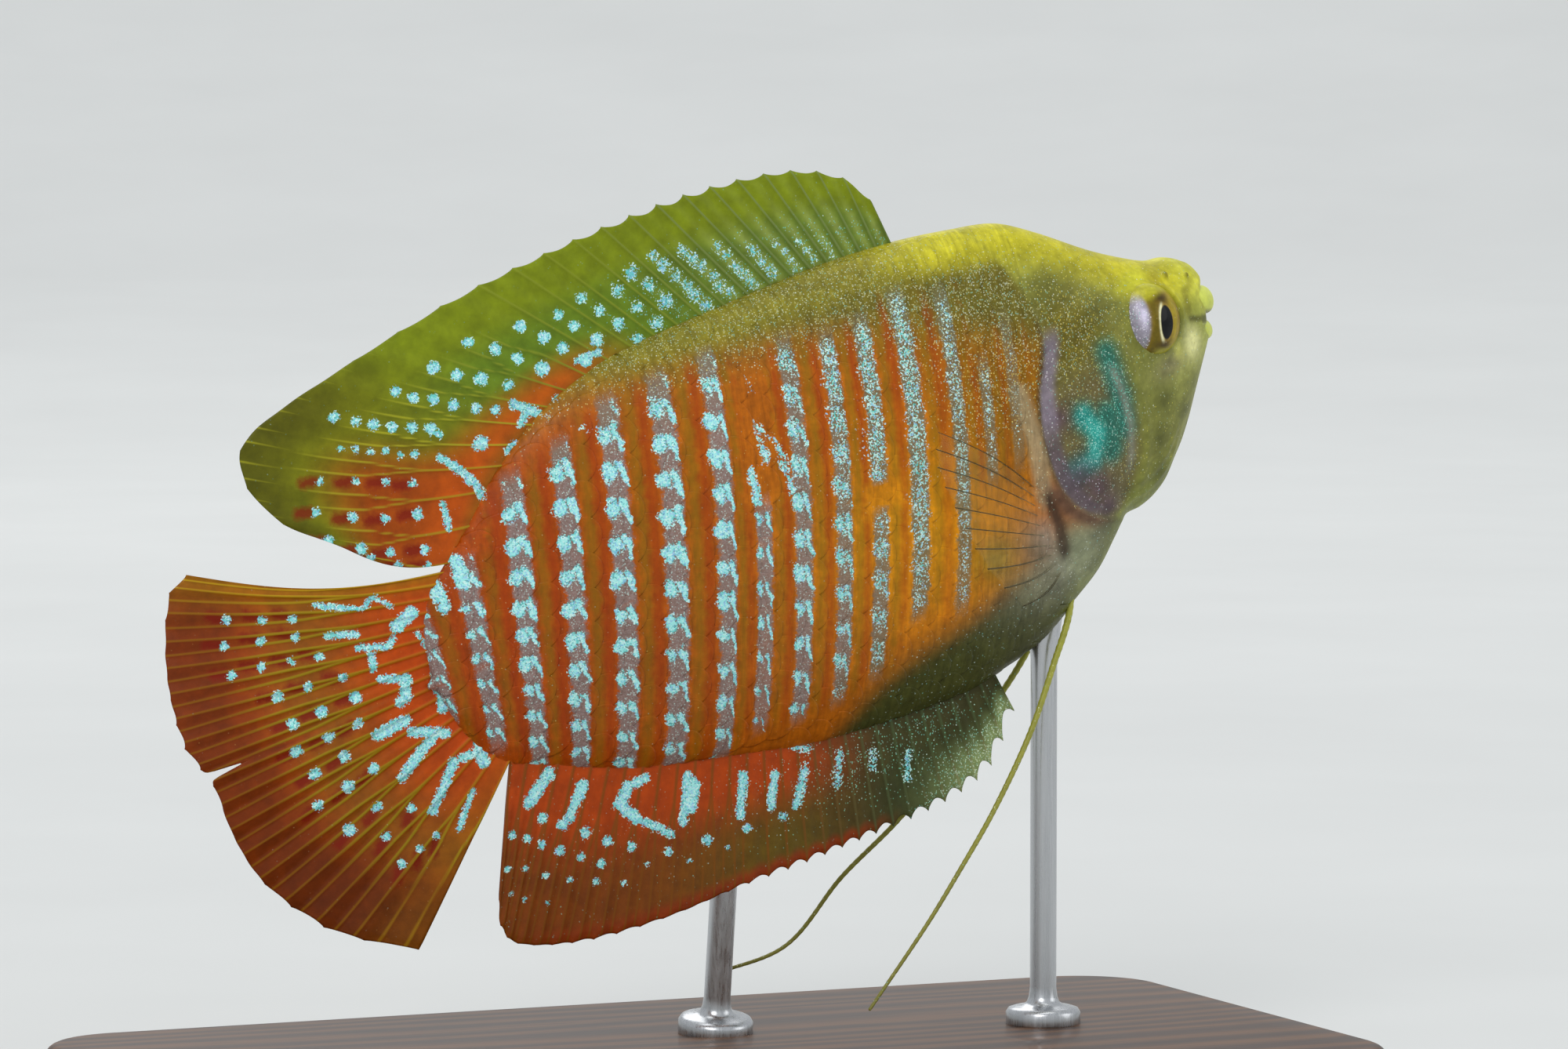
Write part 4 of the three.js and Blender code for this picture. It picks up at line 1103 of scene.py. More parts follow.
def fin_piece(name, plan, last_ray, columns, rows, nodes, material, slot, look, sizes):
    """One fin as a thin closed film with its rays raised on both faces."""
    bm, u, v, face = leaf(columns, rows)
    ray = last_ray * u
    between = ray - np.floor(ray)
    forked = plan.forks(ray) * smooth(v, 0.3, 0.6)
    arm = (0.15 + 0.12 * v) * forked
    off = np.minimum(np.abs(between - arm), np.abs(between - 1 + arm)) * plan.gap(ray, v)
    wide = plan.width * (1 - 0.35 * v)
    rib = np.exp(-((off / wide) ** 2))
    scallop = np.sin(math.pi * between) ** 0.7
    loss = RAY_LOSS * np.sin(12.9898 * np.round(ray)) ** 2
    s, h, y = plan.at(ray, v * (1 - plan.notch(ray) * scallop - loss * (1 - scallop)))
    thin = FIN_EDGE + (1 - FIN_EDGE) * smooth(1 - v, 0, 0.04)
    half = (sizes.fin_skin / MM + sizes.fin_ray / MM * rib * (1 - 0.5 * v)) * thin
    fold = FIN_FOLD * np.sin(2 * math.pi * between) * smooth(v, 0.1, 0.4)
    drawn(bm, place(s, h, y + fold + face * half))
    face_out(bm)
    return piece(name, bm, material, nodes, {**look(plan, ray, v, s, h), "rib": rib})


def station_line(stations):
    """A fin's margin from (ray, s, h) stations."""
    along = through([(ray, s) for ray, s, _ in stations])
    up = through([(ray, h) for ray, _, h in stations])
    return lambda ray: (along(ray), up(ray), 0 * ray)


dorsal_root = through([
    (0, 20.1), (6, 26.8), (10, 33.3), (13, 38.2), (15, 41.6), (17, 44.5), (19, 47.3), (21, 50.2), (23, 54.2),
])
DORSAL = FinPlan(
    root=lambda ray: (dorsal_root(ray), back_line(dorsal_root(ray)) - FIN_ROOT, 0 * ray),
    margin=station_line([
        (0, 20.4, 15.9), (1, 21.5, 17.9), (3, 24.6, 19.8), (6, 30.2, 21.1), (10, 38, 21.8), (13, 44.2, 21.7),
        (15, 49.4, 21.4), (17, 56, 20.7), (19, 62.5, 19.7), (20, 64.8, 18.6), (21, 65.2, 16.2),
        (22, 63.9, 13.2), (23, 61.2, 10.6),
    ]),
    notch=lambda ray: 0.045 - 0.033 * smooth(ray, 9, 17),
    bow=lambda ray: -0.9 * smooth(ray, 14, 22),
    sway=lambda ray, share: 0.35 * share * share * np.sin(0.55 * ray),
    forks=lambda ray: smooth(ray, 14.9, 15.1),
    width=0.1,
)
anal_root = through([(0, 24.3), (16, 41.4), (24, 50.1), (30, 55.9)])
ANAL = FinPlan(
    root=lambda ray: (anal_root(ray), belly_line(anal_root(ray)) + FIN_ROOT, 0 * ray),
    margin=station_line([
        (0, 23.9, -18.2), (1, 25.4, -19.6), (2, 26.8, -20.7), (4, 29.4, -21.4), (8, 34.4, -21.4),
        (12, 39.4, -21.1), (16, 45, -20.3), (20, 51.1, -19.9), (24, 57, -18.8), (27, 60.3, -17.3),
        (29, 60.9, -15.6), (30, 60.4, -14),
    ]),
    notch=lambda ray: 0.05 - 0.035 * smooth(ray, 12, 18) + 0.17 * np.exp(-ray / 3),
    bow=lambda ray: 0 * ray,
    sway=lambda ray, share: -0.3 * share * share * (0.6 + np.sin(0.45 * ray)),
    forks=lambda ray: smooth(ray, 15.9, 16.1),
)


def caudal_start(ray):
    """The tail fin's root: a curve across the end of the tail stalk."""
    h = 6.2 - 11.8 * ray / 17
    return 58.2 - FIN_ROOT - 0.07 * h * h - 0.05 * h, h * 0.96, 0 * ray


CAUDAL = FinPlan(
    root=caudal_start,
    margin=station_line([
        (0, 70.4, 12.7), (1, 71.8, 12.1), (3, 73.5, 9.1), (5, 74.5, 6.1), (7, 74.8, 3), (8, 74.4, 1.4),
        (9, 74.1, 0.1), (11, 74.1, -3.4), (13, 73.3, -7.1), (15, 70.9, -11.1), (16, 69, -12.9),
        (17, 66.2, -14.9),
    ]),
    notch=lambda ray: 0.011 + 0.13 * np.exp(-((ray - 8.5) ** 2) / 0.02),
    bow=lambda ray: -1.1 * np.exp(-ray / 2.5),
    sway=lambda ray, share: 0.5 * share * share * np.sin(0.5 * ray + 1),
    forks=lambda ray: 1 + 0 * ray,
)
pectoral_root = through([(0, -6.2), (9, -10.2)])
pectoral_margin = station_line([
    (0, 24.8, 2.2), (2, 25.7, 0.2), (5, 25.3, -4.2), (7, 24.6, -7.4), (9, 23, -10.8),
])
pectoral_flare = through([(0, 7.4), (5, 6.9), (9, 5.6)])


def pectoral_plan(hand):
    """The pectoral fin of one side: a clear fan that stands off the flank."""

    def root(ray):
        s, h = 17.9 + 0.02 * ray, pectoral_root(ray)
        return s, h, hand * (side_at(s, h) - 0.7)

    def margin(ray):
        s, h, _ = pectoral_margin(ray)
        return s, h, hand * pectoral_flare(ray)

    return FinPlan(
        root, margin,
        notch=lambda ray: 0.03 + 0 * ray,
        bow=lambda ray: 0.5 - 0.1 * ray,
        sway=lambda ray, share: hand * 0.35 * np.sin(math.pi * share),
        width=0.05,
    )


def spot_rows(plan, rows, draw):
    """Bright spots in rows: the row's ray at its first and last spot, their places, how many and how wide."""
    marks = []
    for first_ray, last_ray, first, last, count, wide in rows:
        for way in np.linspace(0, 1, count):
            ray = first_ray + (last_ray - first_ray) * way + draw.uniform(-0.08, 0.08)
            out = (first + (last - first) * way + draw.uniform(-0.15, 0.15) + FIN_ROOT) / plan.length(ray)
            s, h, _ = plan.at(ray, out)
            size = wide * draw.uniform(0.85, 1.15)
            marks.append((float(s), float(h), float(s) + 0.05, float(h), size))
    return marks


def beyond(marks, along, up):
    """The dark red patch on the tail side of each spot."""
    return [(s + 0.45 * along, h + 0.45 * up, s + 1.1 * along, h + 1.1 * up, 0.24) for s, h, _, _, _ in marks]


# Rows of spots: first and last ray, first and last place in millimetres from the body, count and half width
DORSAL_BLUE = (
    (3.5, 3.5, 0.4, 1.6, 3, 0), (4.5, 4.5, 0.5, 2.0, 3, 0.04), (5.5, 5.5, 0.5, 2.5, 4, 0.08),
    (6.5, 6.5, 0.6, 3.2, 5, 0.16), (7.5, 7.5, 0.7, 4.2, 5, 0.2), (8.5, 8.5, 0.8, 5.0, 6, 0.24),
    (9.5, 9.5, 0.7, 5.6, 6, 0.28), (10.5, 10.5, 2.1, 5.2, 3, 0.34), (11.5, 11.5, 0.9, 4.4, 3, 0.34),
    (12.5, 12.5, 0.7, 5.2, 4, 0.32), (13.5, 13.5, 2.0, 5.0, 3, 0.36), (14.5, 14.5, 1.1, 5.8, 4, 0.38),
    (15.5, 15.5, 2.5, 7.6, 4, 0.4), (16.5, 16.5, 3.6, 8.5, 4, 0.36), (17.5, 17.5, 2.9, 9.8, 6, 0.34),
    (18.5, 18.5, 6.3, 12.3, 6, 0.36), (19.4, 19.4, 6.3, 11.0, 6, 0.2),
)
DORSAL_RED = (  # spots with a red patch behind each
    (20.4, 20.4, 5.2, 11.2, 4, 0.26), (21.4, 21.4, 3.8, 10.4, 4, 0.3), (22.4, 22.4, 2.0, 8.5, 4, 0.32),
    (22.9, 22.9, 1.3, 5.1, 3, 0.24),
)


def dorsal_look(plan, ray, share, s, h):
    """Olive with rows of cyan spots, and red between the rays of the rear lobe's lower half."""
    draw = np.random.default_rng(5)
    red_spots = spot_rows(plan, DORSAL_RED, draw)
    marks = spot_rows(plan, DORSAL_BLUE, draw) + red_spots + ROOT_STROKES
    front = 1 - smooth(ray, 7, 12)
    between_rays = 0.5 - 0.5 * np.cos(2 * math.pi * ray)
    lobe = smooth(ray, 16, 19)
    red = smooth(ray, 18.6, 20.5) * (1 - smooth(share, 0.5, 0.8))
    root_red = smooth(ray, 12, 16) * (1 - smooth(share, 0.16, 0.4))
    ground = mixed(
        "66801C",
        ("5E7426", front * 0.8),
        ("9AA84E", front * between_rays * 0.6),
        ("7C8A10", smooth(share, 0.5, 0.8)),
        ("78760C", lobe * 0.8),
        ("56540A", lobe * smooth(share, 0.7, 0.95) * 0.8),
        ("A84004", red * 0.9),
        ("C05208", root_red * 0.9),
        ("8C5A0C", 0.8 * (1 - smooth(share, 0.06, 0.16))),
    )
    return {
        "ground": ground,
        "rib_tint": mixed("8A9628", ("7E8E50", front), ("B8B428", lobe), ("A87810", red * 0.6)),
        "mark": distance_to(s, h, marks),
        "shade": distance_to(s, h, beyond(red_spots, 0.95, 0.3)),
        "haze": 0.6 + 1.5 * (1 - smooth(ray, 9, 14)),
        "glitter": 0.3 * hump(share, 0.3, 0.25) * between_rays * (1 - smooth(ray, 11, 14)) + 0.01,
        "glint": np.tile(linear("6FCFC0"), (len(s), 1)),
    }


ANAL_STROKES = [  # the big marks along the fin's root, from the tail's end forwards
    (54.3, -8.2, 56.2, -9.3, 0.4), (52.6, -9.8, 54.1, -11.3, 0.38), (48.6, -11.2, 49.9, -11.2, 0.28),
    (49.9, -11.2, 50.8, -12.0, 0.4), (50.8, -12.0, 50.2, -13.2, 0.4), (50.2, -13.2, 48.5, -15.1, 0.26),
    (46.0, -12.3, 47.4, -14.8, 0.3), (45.9, -13.0, 46.6, -14.1, 0.48), (42.6, -13.9, 43.8, -16.1, 0.32),
    (40.6, -14.8, 41.6, -16.5, 0.32), (38.8, -13.5, 37.9, -14.2, 0.26), (38.5, -15.3, 40.0, -17.2, 0.26),
    (36.0, -15.5, 36.9, -17.2, 0.22), (33.9, -16.5, 34.2, -17.3, 0.18), (31.7, -17.5, 32.4, -18.9, 0.16),
]
ANAL_ROWS = (
    (27.3, 21.9, 3.2, 5.0, 5, 0.32), (20, 14.1, 5.4, 4.2, 4, 0.26), (29.1, 23.4, 4.2, 6.0, 6, 0.27),
    (21, 17, 6.2, 5.8, 3, 0.15), (29.1, 22.1, 6.4, 7.2, 6, 0.19), (28.5, 25.8, 8.1, 8.6, 3, 0.12),
)


def anal_look(plan, ray, share, s, h):
    """Red orange with blue strokes at the root and rows of spots, turning grey green at the front."""
    marks = ANAL_STROKES + spot_rows(plan, ANAL_ROWS, np.random.default_rng(11))
    front = 1 - smooth(ray, 7, 15)
    tips = (1 - smooth(ray, 2, 8)) * smooth(share, 0.5, 0.95)
    olive = hump(ray, 14, 5) * smooth(share, 0.3, 0.8)
    ground = mixed(
        "B04204",
        ("7E3C06", smooth(share, 0.3, 0.7)),
        ("5C5210", olive * 0.8),
        ("343F1E", front * 0.95),
        ("8A3404", smooth(share, 0.88, 0.97) * window(ray, 7, 11, 24, 28)),
        ("92A468", tips * 0.8),
    )
    return {
        "ground": ground,
        "rib_tint": mixed("7E4808", ("A8B47C", tips), ("4C5A36", front * (1 - tips))),
        "mark": distance_to(s, h, marks),
        "shade": np.full(len(s), FAR),
        "haze": 0.6 + 0.9 * (1 - smooth(ray, 11, 15)),
        "glitter": 0.02 + 0.14 * hump(ray, 7, 6) * hump(share, 0.4, 0.3) + 0.5 * tips,
        "glint": mixed("8FE0B8", ("E4F4CC", tips)),
    }


CAUDAL_STROKES = [  # the marks on the root of the tail fin, from above downwards
    (63.9, 7.7, 61.3, 6.3, 0.16), (61.3, 6.3, 60.4, 6.7, 0.16), (60.4, 6.7, 59.6, 5.7, 0.16),
    (64.0, 5.7, 62.2, 5.0, 0.2), (62.5, 4.2, 60.8, 3.5, 0.2), (60.8, 3.5, 60.2, 3.8, 0.18),
    (61.9, 3.4, 62.1, 2.6, 0.24), (59.7, 4.4, 58.6, 4.8, 0.44), (58.7, 3.6, 58.5, 2.3, 0.13),
    (58.4, 1.3, 59.0, -1.5, 0.32), (58.7, -0.2, 58.2, -1.7, 0.42), (58.2, -1.7, 57.5, -2.9, 0.18),
    (57.5, -2.9, 57.5, -4.1, 0.18), (57.7, -4.5, 57.9, -5.7, 0.4), (59.1, -4.9, 57.7, -5.0, 0.26),
    (61.9, 1.8, 60.9, 1.4, 0.28), (60.5, 1.2, 60.9, 0.1, 0.36), (60.9, 0.1, 61.4, 0.0, 0.34),
    (63.4, -1.3, 61.5, -1.2, 0.4), (61.4, -2.0, 59.4, -3.0, 0.32), (59.9, -2.7, 63.0, -4.4, 0.32),
    (59.6, -4.9, 62.0, -7.2, 0.3), (59.2, -7.1, 60.9, -8.9, 0.2),
]
CAUDAL_ROWS = (
    (2.1, 2.1, 9.4, 13.5, 3, 0.24), (3.1, 3.1, 9.3, 13.5, 3, 0.26), (4.4, 4.4, 7.6, 13.2, 4, 0.28),
    (6, 6, 6.4, 10.7, 3, 0.32), (7.5, 7.5, 5.8, 10.1, 3, 0.34), (9.1, 9.1, 6.0, 10.4, 3, 0.34),
    (10.4, 10.4, 7.5, 9.7, 2, 0.34), (11.8, 11.8, 6.5, 10.5, 3, 0.33), (13.3, 13.3, 7.7, 9.8, 2, 0.33),
    (14.4, 14.4, 6.4, 8.6, 2, 0.3), (15.5, 16, 9.3, 6.6, 3, 0.24),
)
CAUDAL_FAN = 57  # where the tail fin's rays would meet, on the fish's own axis


def caudal_look(plan, ray, share, s, h):
    """Deep orange, with blue strokes at the root, arcs of small spots and a plain outer third."""
    rows = spot_rows(plan, CAUDAL_ROWS, np.random.default_rng(7))
    patches = []
    for mark in rows:
        away = math.hypot(mark[0] - CAUDAL_FAN, mark[1])
        patches += beyond([mark], (mark[0] - CAUDAL_FAN) / away, mark[1] / away)
    outer = smooth(share, 0.62, 0.85)
    gold = np.clip(hump(ray, 0, 1.2) + 0.35 * hump(ray, 17, 1), 0, 1)
    ground = mixed(
        "C04604",
        ("805208", 0.8 * hump(share, 0.55, 0.22)),
        ("762F02", outer * 0.95),
        ("642802", 0.7 * smooth(ray, 10, 15) * smooth(share, 0.5, 0.8)),
        ("A06A04", gold * 0.8),
    )
    inner = 1 - smooth(share, 0.15, 0.4)
    return {
        "ground": ground,
        "rib_tint": mixed("A08C10", ("B06808", inner), ("8A4A04", outer * 0.8), ("C8A018", gold)),
        "mark": distance_to(s, h, CAUDAL_STROKES + rows),
        "shade": distance_to(s, h, patches),
        "haze": np.full(len(s), 0.6),
        "glitter": np.full(len(s), 0.008),
        "glint": np.tile(linear("E8B060"), (len(s), 1)),
    }


def pectoral_look(plan, ray, share, s, h):
    """Pale at the root, and almost invisible between thin dark rays beyond."""
    return {"ground": mixed("2A2210", ("8A8668", 1 - smooth(share, 0.12, 0.4)))}


# Fins in the fish's middle: name, plan, last ray, points along and out, the nodes it stands for and its look
MIDDLE_FINS = (
    ("dorsal_fin", DORSAL, 23, 322, 84, ("dorsal_fin_spiny", "dorsal_fin_soft"), dorsal_look),
    ("anal_fin", ANAL, 30, 330, 70, ("anal_fin_spiny", "anal_fin_soft"), anal_look),
    ("tail_fin", CAUDAL, 17, 255, 110, ("caudal_fin_upper", "caudal_fin_lower"), caudal_look),
)
PECTORAL_RAYS = 9
PECTORAL_MESH = (126, 48)


# The stand, in millimetres

BASE_SIZE = (78, 42, 5)
BASE_CORNER = 6
BASE_TOP_EDGE, BASE_FOOT_EDGE = 0.9, 0.4
# The rods' nodes, where each ends above and where it stands on the base
RODS = (("stand_rod_front", (22.9, 0, 33), (22.9, 0)), ("stand_rod_rear", (2, 1.2, 29), (2, 4.7)))
ROD_RADIUS = 0.85
# A rod's profile: distance from its axis with the height over the base, and with the depth under its top
ROD_FOOT = (
    (0, -0.2), (2.35, -0.2), (2.4, 0.1), (2.4, 0.75), (2.25, 1.0), (1.9, 1.12), (1.35, 1.2), (1.05, 1.4),
    (0.92, 1.75), (ROD_RADIUS, 2.4),
)
ROD_TOP = ((ROD_RADIUS, 4.5), (0.95, 3.6), (1.15, 2), (1.1, 0.6), (0, 0.4))


def varnished_walnut():
    """Dark hardwood, planed and satin varnished: long soft grain with fine dark pores."""
    finish = {"Roughness": 0.45, "Specular IOR Level": 0.25, "Coat Weight": 0.1}
    material, put, feed = new_material("varnished_walnut", finish)
    at = put("TexCoord", out=3)
    along = put("VectorMath", at, (0.12, 1, 1), operation="MULTIPLY")
    warp = put("TexNoise", along, None, 1 / (14 * MM), 2, 0.5, out=1)
    warped = put("VectorMath", warp, (0.012, 0.012, 0.012), along, operation="MULTIPLY_ADD")
    ring = put("TexWave", warped, 1 / (9 * MM), 3.5, 3, 1.2, bands_direction="Y")
    drawn_out = put("VectorMath", at, (0.05, 1, 1), operation="MULTIPLY")
    pore = put("TexNoise", drawn_out, None, 1 / (0.35 * MM), 2)
    base = put("MixRGB", put("MapRange", ring, 0.1, 0.95, 0, 1), paint("3E2613"), paint("64401F"))
    base = put("MixRGB", put("MapRange", pore, 0.42, 0.32, 0, 0.6), base, paint("26160B"))
    feed(Base_Color=base, Normal=put("Bump", 0.2, 0.05 * MM, None, pore))
    return material


def brushed_steel():
    """Stainless steel rod, polished lengthwise: bright, with faint lines along it."""
    material, put, feed = new_material("brushed_steel", {"Metallic": 1.0})
    drawn_out = put("VectorMath", put("TexCoord", out=3), (1, 1, 0.03), operation="MULTIPLY")
    lines = put("TexNoise", drawn_out, None, 1 / (0.12 * MM), 2)
    feed(Base_Color=put("MixRGB", lines, paint("A9ABAE"), paint("D2D4D6")))
    feed(Roughness=put("MapRange", lines, 0.3, 0.7, 0.22, 0.38))
    return material


def base_piece(material):
    """The flat wooden base, its corners and edges rounded."""
    bm = bmesh.new()
    bmesh.ops.create_cube(bm, size=1, matrix=Matrix.Translation((0, 0, 0.5)))
    bmesh.ops.scale(bm, vec=[side * MM for side in BASE_SIZE], verts=bm.verts[:])
    upright = [e for e in bm.edges if abs(e.verts[0].co.z - e.verts[1].co.z) > MM]
    rounding = {"affect": "EDGES", "profile": 0.5, "material": -1}
    bmesh.ops.bevel(bm, geom=upright, offset=BASE_CORNER * MM, segments=16, **rounding)
    for level, offset in ((BASE_SIZE[2] * MM, BASE_TOP_EDGE), (0, BASE_FOOT_EDGE)):
        rim = [e for e in bm.edges if all(abs(v.co.z - level) < 1e-6 for v in e.verts)]
        bmesh.ops.bevel(bm, geom=rim, offset=offset * MM, segments=6, **rounding)
    return piece("stand_base_board", bm, material, ("stand_base",))


def turned(profile, steps):
    """A profile of distances from the upright axis and heights, in metres, spun into a surface."""
    bm = bmesh.new()
    verts = [bm.verts.new((out, 0, up)) for out, up in profile]
    edges = [bm.edges.new(pair) for pair in zip(verts, verts[1:])]
    spun = {"axis": (0, 0, 1), "cent": (0, 0, 0), "angle": 2 * math.pi, "steps": steps, "use_merge": True}
    bmesh.ops.spin(bm, geom=verts + edges, **spun)
    bmesh.ops.remove_doubles(bm, verts=bm.verts[:], dist=1e-7)
    return bm


def rod_piece(name, node, top, foot, material):
    """A steel rod with a flange at its foot, up into the fish's belly."""
    foot, top = Vector((*foot, BASE_SIZE[2])) * MM, Vector(top) * MM
    tall = (top - foot).length / MM
    profile = [*ROD_FOOT, *((out, tall - down) for out, down in ROD_TOP)]
    bm = turned([(out * MM, up * MM) for out, up in profile], 40)
    bmesh.ops.recalc_face_normals(bm, faces=bm.faces[:])
    lean = (top - foot).to_track_quat("Z", "Y").to_matrix().to_4x4()
    bmesh.ops.transform(bm, matrix=Matrix.Translation(foot) @ lean, verts=bm.verts[:])
    return piece(name, bm, material, (node,))


# The stage. The view's target and distance are in millimetres, its azimuth and elevation in degrees.

VIEW_TARGET = (4.7, 0, 37.6)
VIEW_ANGLES = (-24, 4)
VIEW_DISTANCE = 450
LENS = 164.4
SENSOR = 36
# Name, place and aim in metres, size in metres and power in watts
LIGHTS = (
    ("key", (-0.4, -0.5, 0.5), (0, 0, 0.04), 0.3, 1.7),
    ("fill", (0.55, -0.35, 0.3), (0, 0, 0.04), 0.4, 0.5),
    ("top", (0.0, 0.0, 0.8), (0, 0, 0), 0.5, 1.2),
    ("back", (0.1, 0.6, 0.5), (0, 0, 0.04), 0.4, 0.7),
    ("backdrop", (0.35, 0.8, 0.7), (0.5, 1.1, 0), 0.7, 1.6),
)
SWEEP = ((0, 0), (0.7, 0), (0.95, 0.02), (1.15, 0.07), (1.3, 0.15), (1.4, 0.28))  # floor and rim, in metres
SKY, SKY_STRENGTH = "E8ECF0", 0.75


def studio_floor():
    """Seamless paper: pale, matt and even."""
    material, put, feed = new_material("pale_paper", {"Roughness": 0.9, "Specular IOR Level": 0.1})
    at = put("TexCoord", out=3)
    feed(Base_Color=uneven(put, at, linear("D9DAD8"), 60, 0.98, 1.02))
    return material


def studio_sweep(scene):
    """A round floor of paper whose rim curves up, with its faces turned to the middle."""
    bm = turned(SWEEP, 96)
    for face in bm.faces:
        face.normal_update()
        if face.normal.dot(Vector((0, 0, 0.5)) - face.calc_center_median()) < 0:
            face.normal_flip()
    mesh = bpy.data.meshes.new("studio_sweep")
    bm.to_mesh(mesh)
    bm.free()
    mesh.shade_smooth()
    mesh.materials.append(studio_floor())
    sweep = bpy.data.objects.new("studio_sweep", mesh)
    scene.collection.objects.link(sweep)


def studio_world():
    """Even, slightly cool light from all round."""
    world = bpy.data.worlds.new("studio")
    world.use_nodes = True
    background = world.node_tree.nodes["Background"].inputs
    background["Color"].default_value = paint(SKY)
    background["Strength"].default_value = SKY_STRENGTH
    return world


def put_in(scene, name, data, place_at, aim):
    """Puts a light or the camera in the scene, aimed at a point. Both places are in metres."""
    thing = bpy.data.objects.new(name, data)
    thing.location = place_at
    thing.rotation_euler = (Vector(aim) - thing.location).to_track_quat("-Z", "Y").to_euler()
    scene.collection.objects.link(thing)
    return thing


def studio_camera(scene):
    """The camera at the photo's place."""
    azimuth, elevation = (math.radians(angle) for angle in VIEW_ANGLES)
    level = math.cos(elevation)
    back = Vector((math.sin(azimuth) * level, -math.cos(azimuth) * level, math.sin(elevation)))
    target = Vector(VIEW_TARGET) * MM
    data = bpy.data.cameras.new("camera")
    data.lens, data.sensor_width, data.clip_start = LENS, SENSOR, 0.01
    return put_in(scene, "camera", data, target + back * VIEW_DISTANCE * MM, target)


# Operators


def settings():
    """The model's sizes and colours, as the panel holds them."""
    return bpy.context.scene.gourami_sizes, bpy.context.scene.gourami_colours


def skin_material(colours):
    """The skin's material, which the scales share."""
    return bpy.data.materials.get("varnished_fish_skin") or scaly_skin(colours)


class GOURAMI_OT_stage(bpy.types.Operator):
    """Builds the pale floor, the lights and the camera"""

    bl_idname = "gourami.stage"
    bl_label = "Stage"

    def execute(self, context):
        scene = context.scene
        studio_sweep(scene)
        for name, place_at, aim, size, power in LIGHTS:
            data = bpy.data.lights.new(name, "AREA")
            data.shape, data.size, data.energy = "DISK", size, power
            put_in(scene, name, data, place_at, aim)
        scene.world = studio_world()
        scene.camera = studio_camera(scene)
        scene.view_settings.view_transform = "Standard"
        return {"FINISHED"}


class GOURAMI_OT_skin(bpy.types.Operator):
    """Builds the skin of the head, trunk and tail stalk"""

    bl_idname = "gourami.skin"
    bl_label = "Skin"

    def execute(self, context):
        _, colours = settings()
        skin_piece(skin_material(colours), colours)
        return {"FINISHED"}


class GOURAMI_OT_scales(bpy.types.Operator):
    """Builds the scales of both sides"""

    bl_idname = "gourami.scales"
    bl_label = "Scales"

    def execute(self, context):
        sizes, colours = settings()
        for side, hand in HANDS.items():
            scale_piece("scales_" + side, hand, skin_material(colours), colours, sizes)
        return {"FINISHED"}


class GOURAMI_OT_lips(bpy.types.Operator):
    """Builds the upper and lower lip"""

    bl_idname = "gourami.lips"
    bl_label = "Lips"

    def execute(self, context):
        _, colours = settings()
        material = soft_skin("lip_skin")
        for name, lip in LIPS.items():
            lip_piece(name, *lip, material, colours)
        return {"FINISHED"}


class GOURAMI_OT_eyes(bpy.types.Operator):
    """Builds both eyes"""

    bl_idname = "gourami.eyes"
    bl_label = "Eyes"

    def execute(self, context):
        material = glass_eye()
        for side, hand in HANDS.items():
            eye_piece("eyeball_" + side, hand, "eye_" + side, material)
        return {"FINISHED"}


class GOURAMI_OT_fins(bpy.types.Operator):
    """Builds the dorsal, anal and tail fin"""

    bl_idname = "gourami.fins"
    bl_label = "Dorsal, Anal and Tail Fin"

    def execute(self, context):
        sizes, colours = settings()
        for name, plan, last_ray, columns, rows, nodes, look in MIDDLE_FINS:
            material = fin_skin(name + "_membrane", colours)
            fin_piece(name, plan, last_ray, columns, rows, nodes, material, name, look, sizes)
        return {"FINISHED"}


class GOURAMI_OT_pectorals(bpy.types.Operator):
    """Builds the two clear pectoral fins"""

    bl_idname = "gourami.pectorals"
    bl_label = "Pectoral Fins"

    def execute(self, context):
        sizes, _ = settings()
        material = clear_fin()
        for side, hand in HANDS.items():
            name, plan, nodes = "pectoral_film_" + side, pectoral_plan(hand), ("pectoral_fin_" + side,)
            mesh = (PECTORAL_RAYS, *PECTORAL_MESH)
            fin_piece(name, plan, *mesh, nodes, material, "pectoral_fin", pectoral_look, sizes)
        return {"FINISHED"}


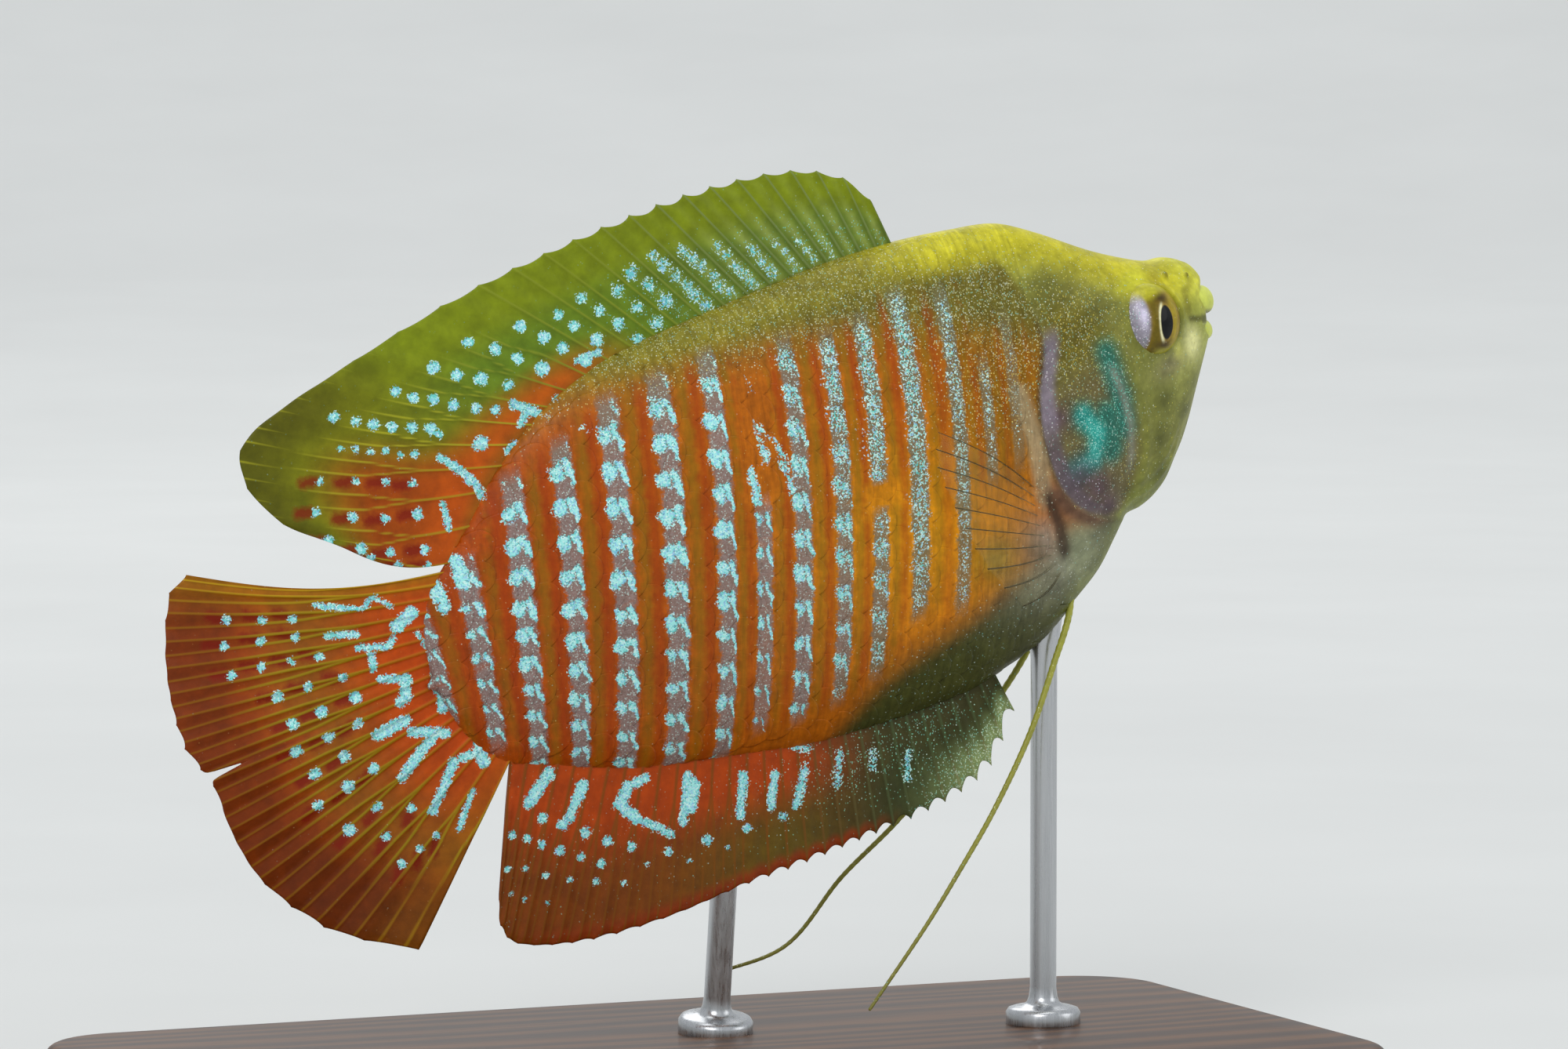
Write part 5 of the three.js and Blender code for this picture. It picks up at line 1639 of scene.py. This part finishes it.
class GOURAMI_OT_threads(bpy.types.Operator):
    """Builds the two thread-like pelvic fins"""

    bl_idname = "gourami.threads"
    bl_label = "Thread Fins"

    def execute(self, context):
        material = soft_skin("thread_skin")
        for side, path in THREADS.items():
            nodes = ["pelvic_thread_" + side + end for end in ("_root", "_tip")]
            thread_piece("thread_fin_" + side, path, nodes, material)
        return {"FINISHED"}


class GOURAMI_OT_base(bpy.types.Operator):
    """Builds the stand's wooden base"""

    bl_idname = "gourami.base"
    bl_label = "Stand Base"

    def execute(self, context):
        base_piece(varnished_walnut())
        return {"FINISHED"}


class GOURAMI_OT_rods(bpy.types.Operator):
    """Builds the stand's two steel rods"""

    bl_idname = "gourami.rods"
    bl_label = "Stand Rods"

    def execute(self, context):
        material = brushed_steel()
        for node, top, foot in RODS:
            rod_piece(node + "_steel", node, top, foot, material)
        return {"FINISHED"}


STEPS = ("stage", "skin", "scales", "lips", "eyes", "fins", "pectorals", "threads", "base", "rods")


class GOURAMI_PT_panel(bpy.types.Panel):
    """The model's settings and the buttons that build its pieces"""

    bl_idname = "GOURAMI_PT_panel"
    bl_label = "Dwarf Gourami"
    bl_space_type = "VIEW_3D"
    bl_region_type = "UI"
    bl_category = "Gourami"

    def draw(self, context):
        for group in settings():
            for name in group.__annotations__:
                self.layout.prop(group, name)
        for step in STEPS:
            self.layout.operator("gourami." + step)


CLASSES = (
    GouramiSizes, GouramiColours, GOURAMI_OT_stage, GOURAMI_OT_skin, GOURAMI_OT_scales, GOURAMI_OT_lips,
    GOURAMI_OT_eyes, GOURAMI_OT_fins, GOURAMI_OT_pectorals, GOURAMI_OT_threads, GOURAMI_OT_base,
    GOURAMI_OT_rods, GOURAMI_PT_panel,
)


def register():
    """Adds the model's settings, operators and panel to Blender."""
    for cls in CLASSES:
        bpy.utils.register_class(cls)
    bpy.types.Scene.gourami_sizes = bpy.props.PointerProperty(type=GouramiSizes)
    bpy.types.Scene.gourami_colours = bpy.props.PointerProperty(type=GouramiColours)


def unregister():
    """Takes away what register added."""
    del bpy.types.Scene.gourami_sizes
    del bpy.types.Scene.gourami_colours
    for cls in reversed(CLASSES):
        bpy.utils.unregister_class(cls)


def main():
    """Builds the whole model."""
    register()
    for step in STEPS:
        getattr(bpy.ops.gourami, step)()


if __name__ == "__main__":
    main()
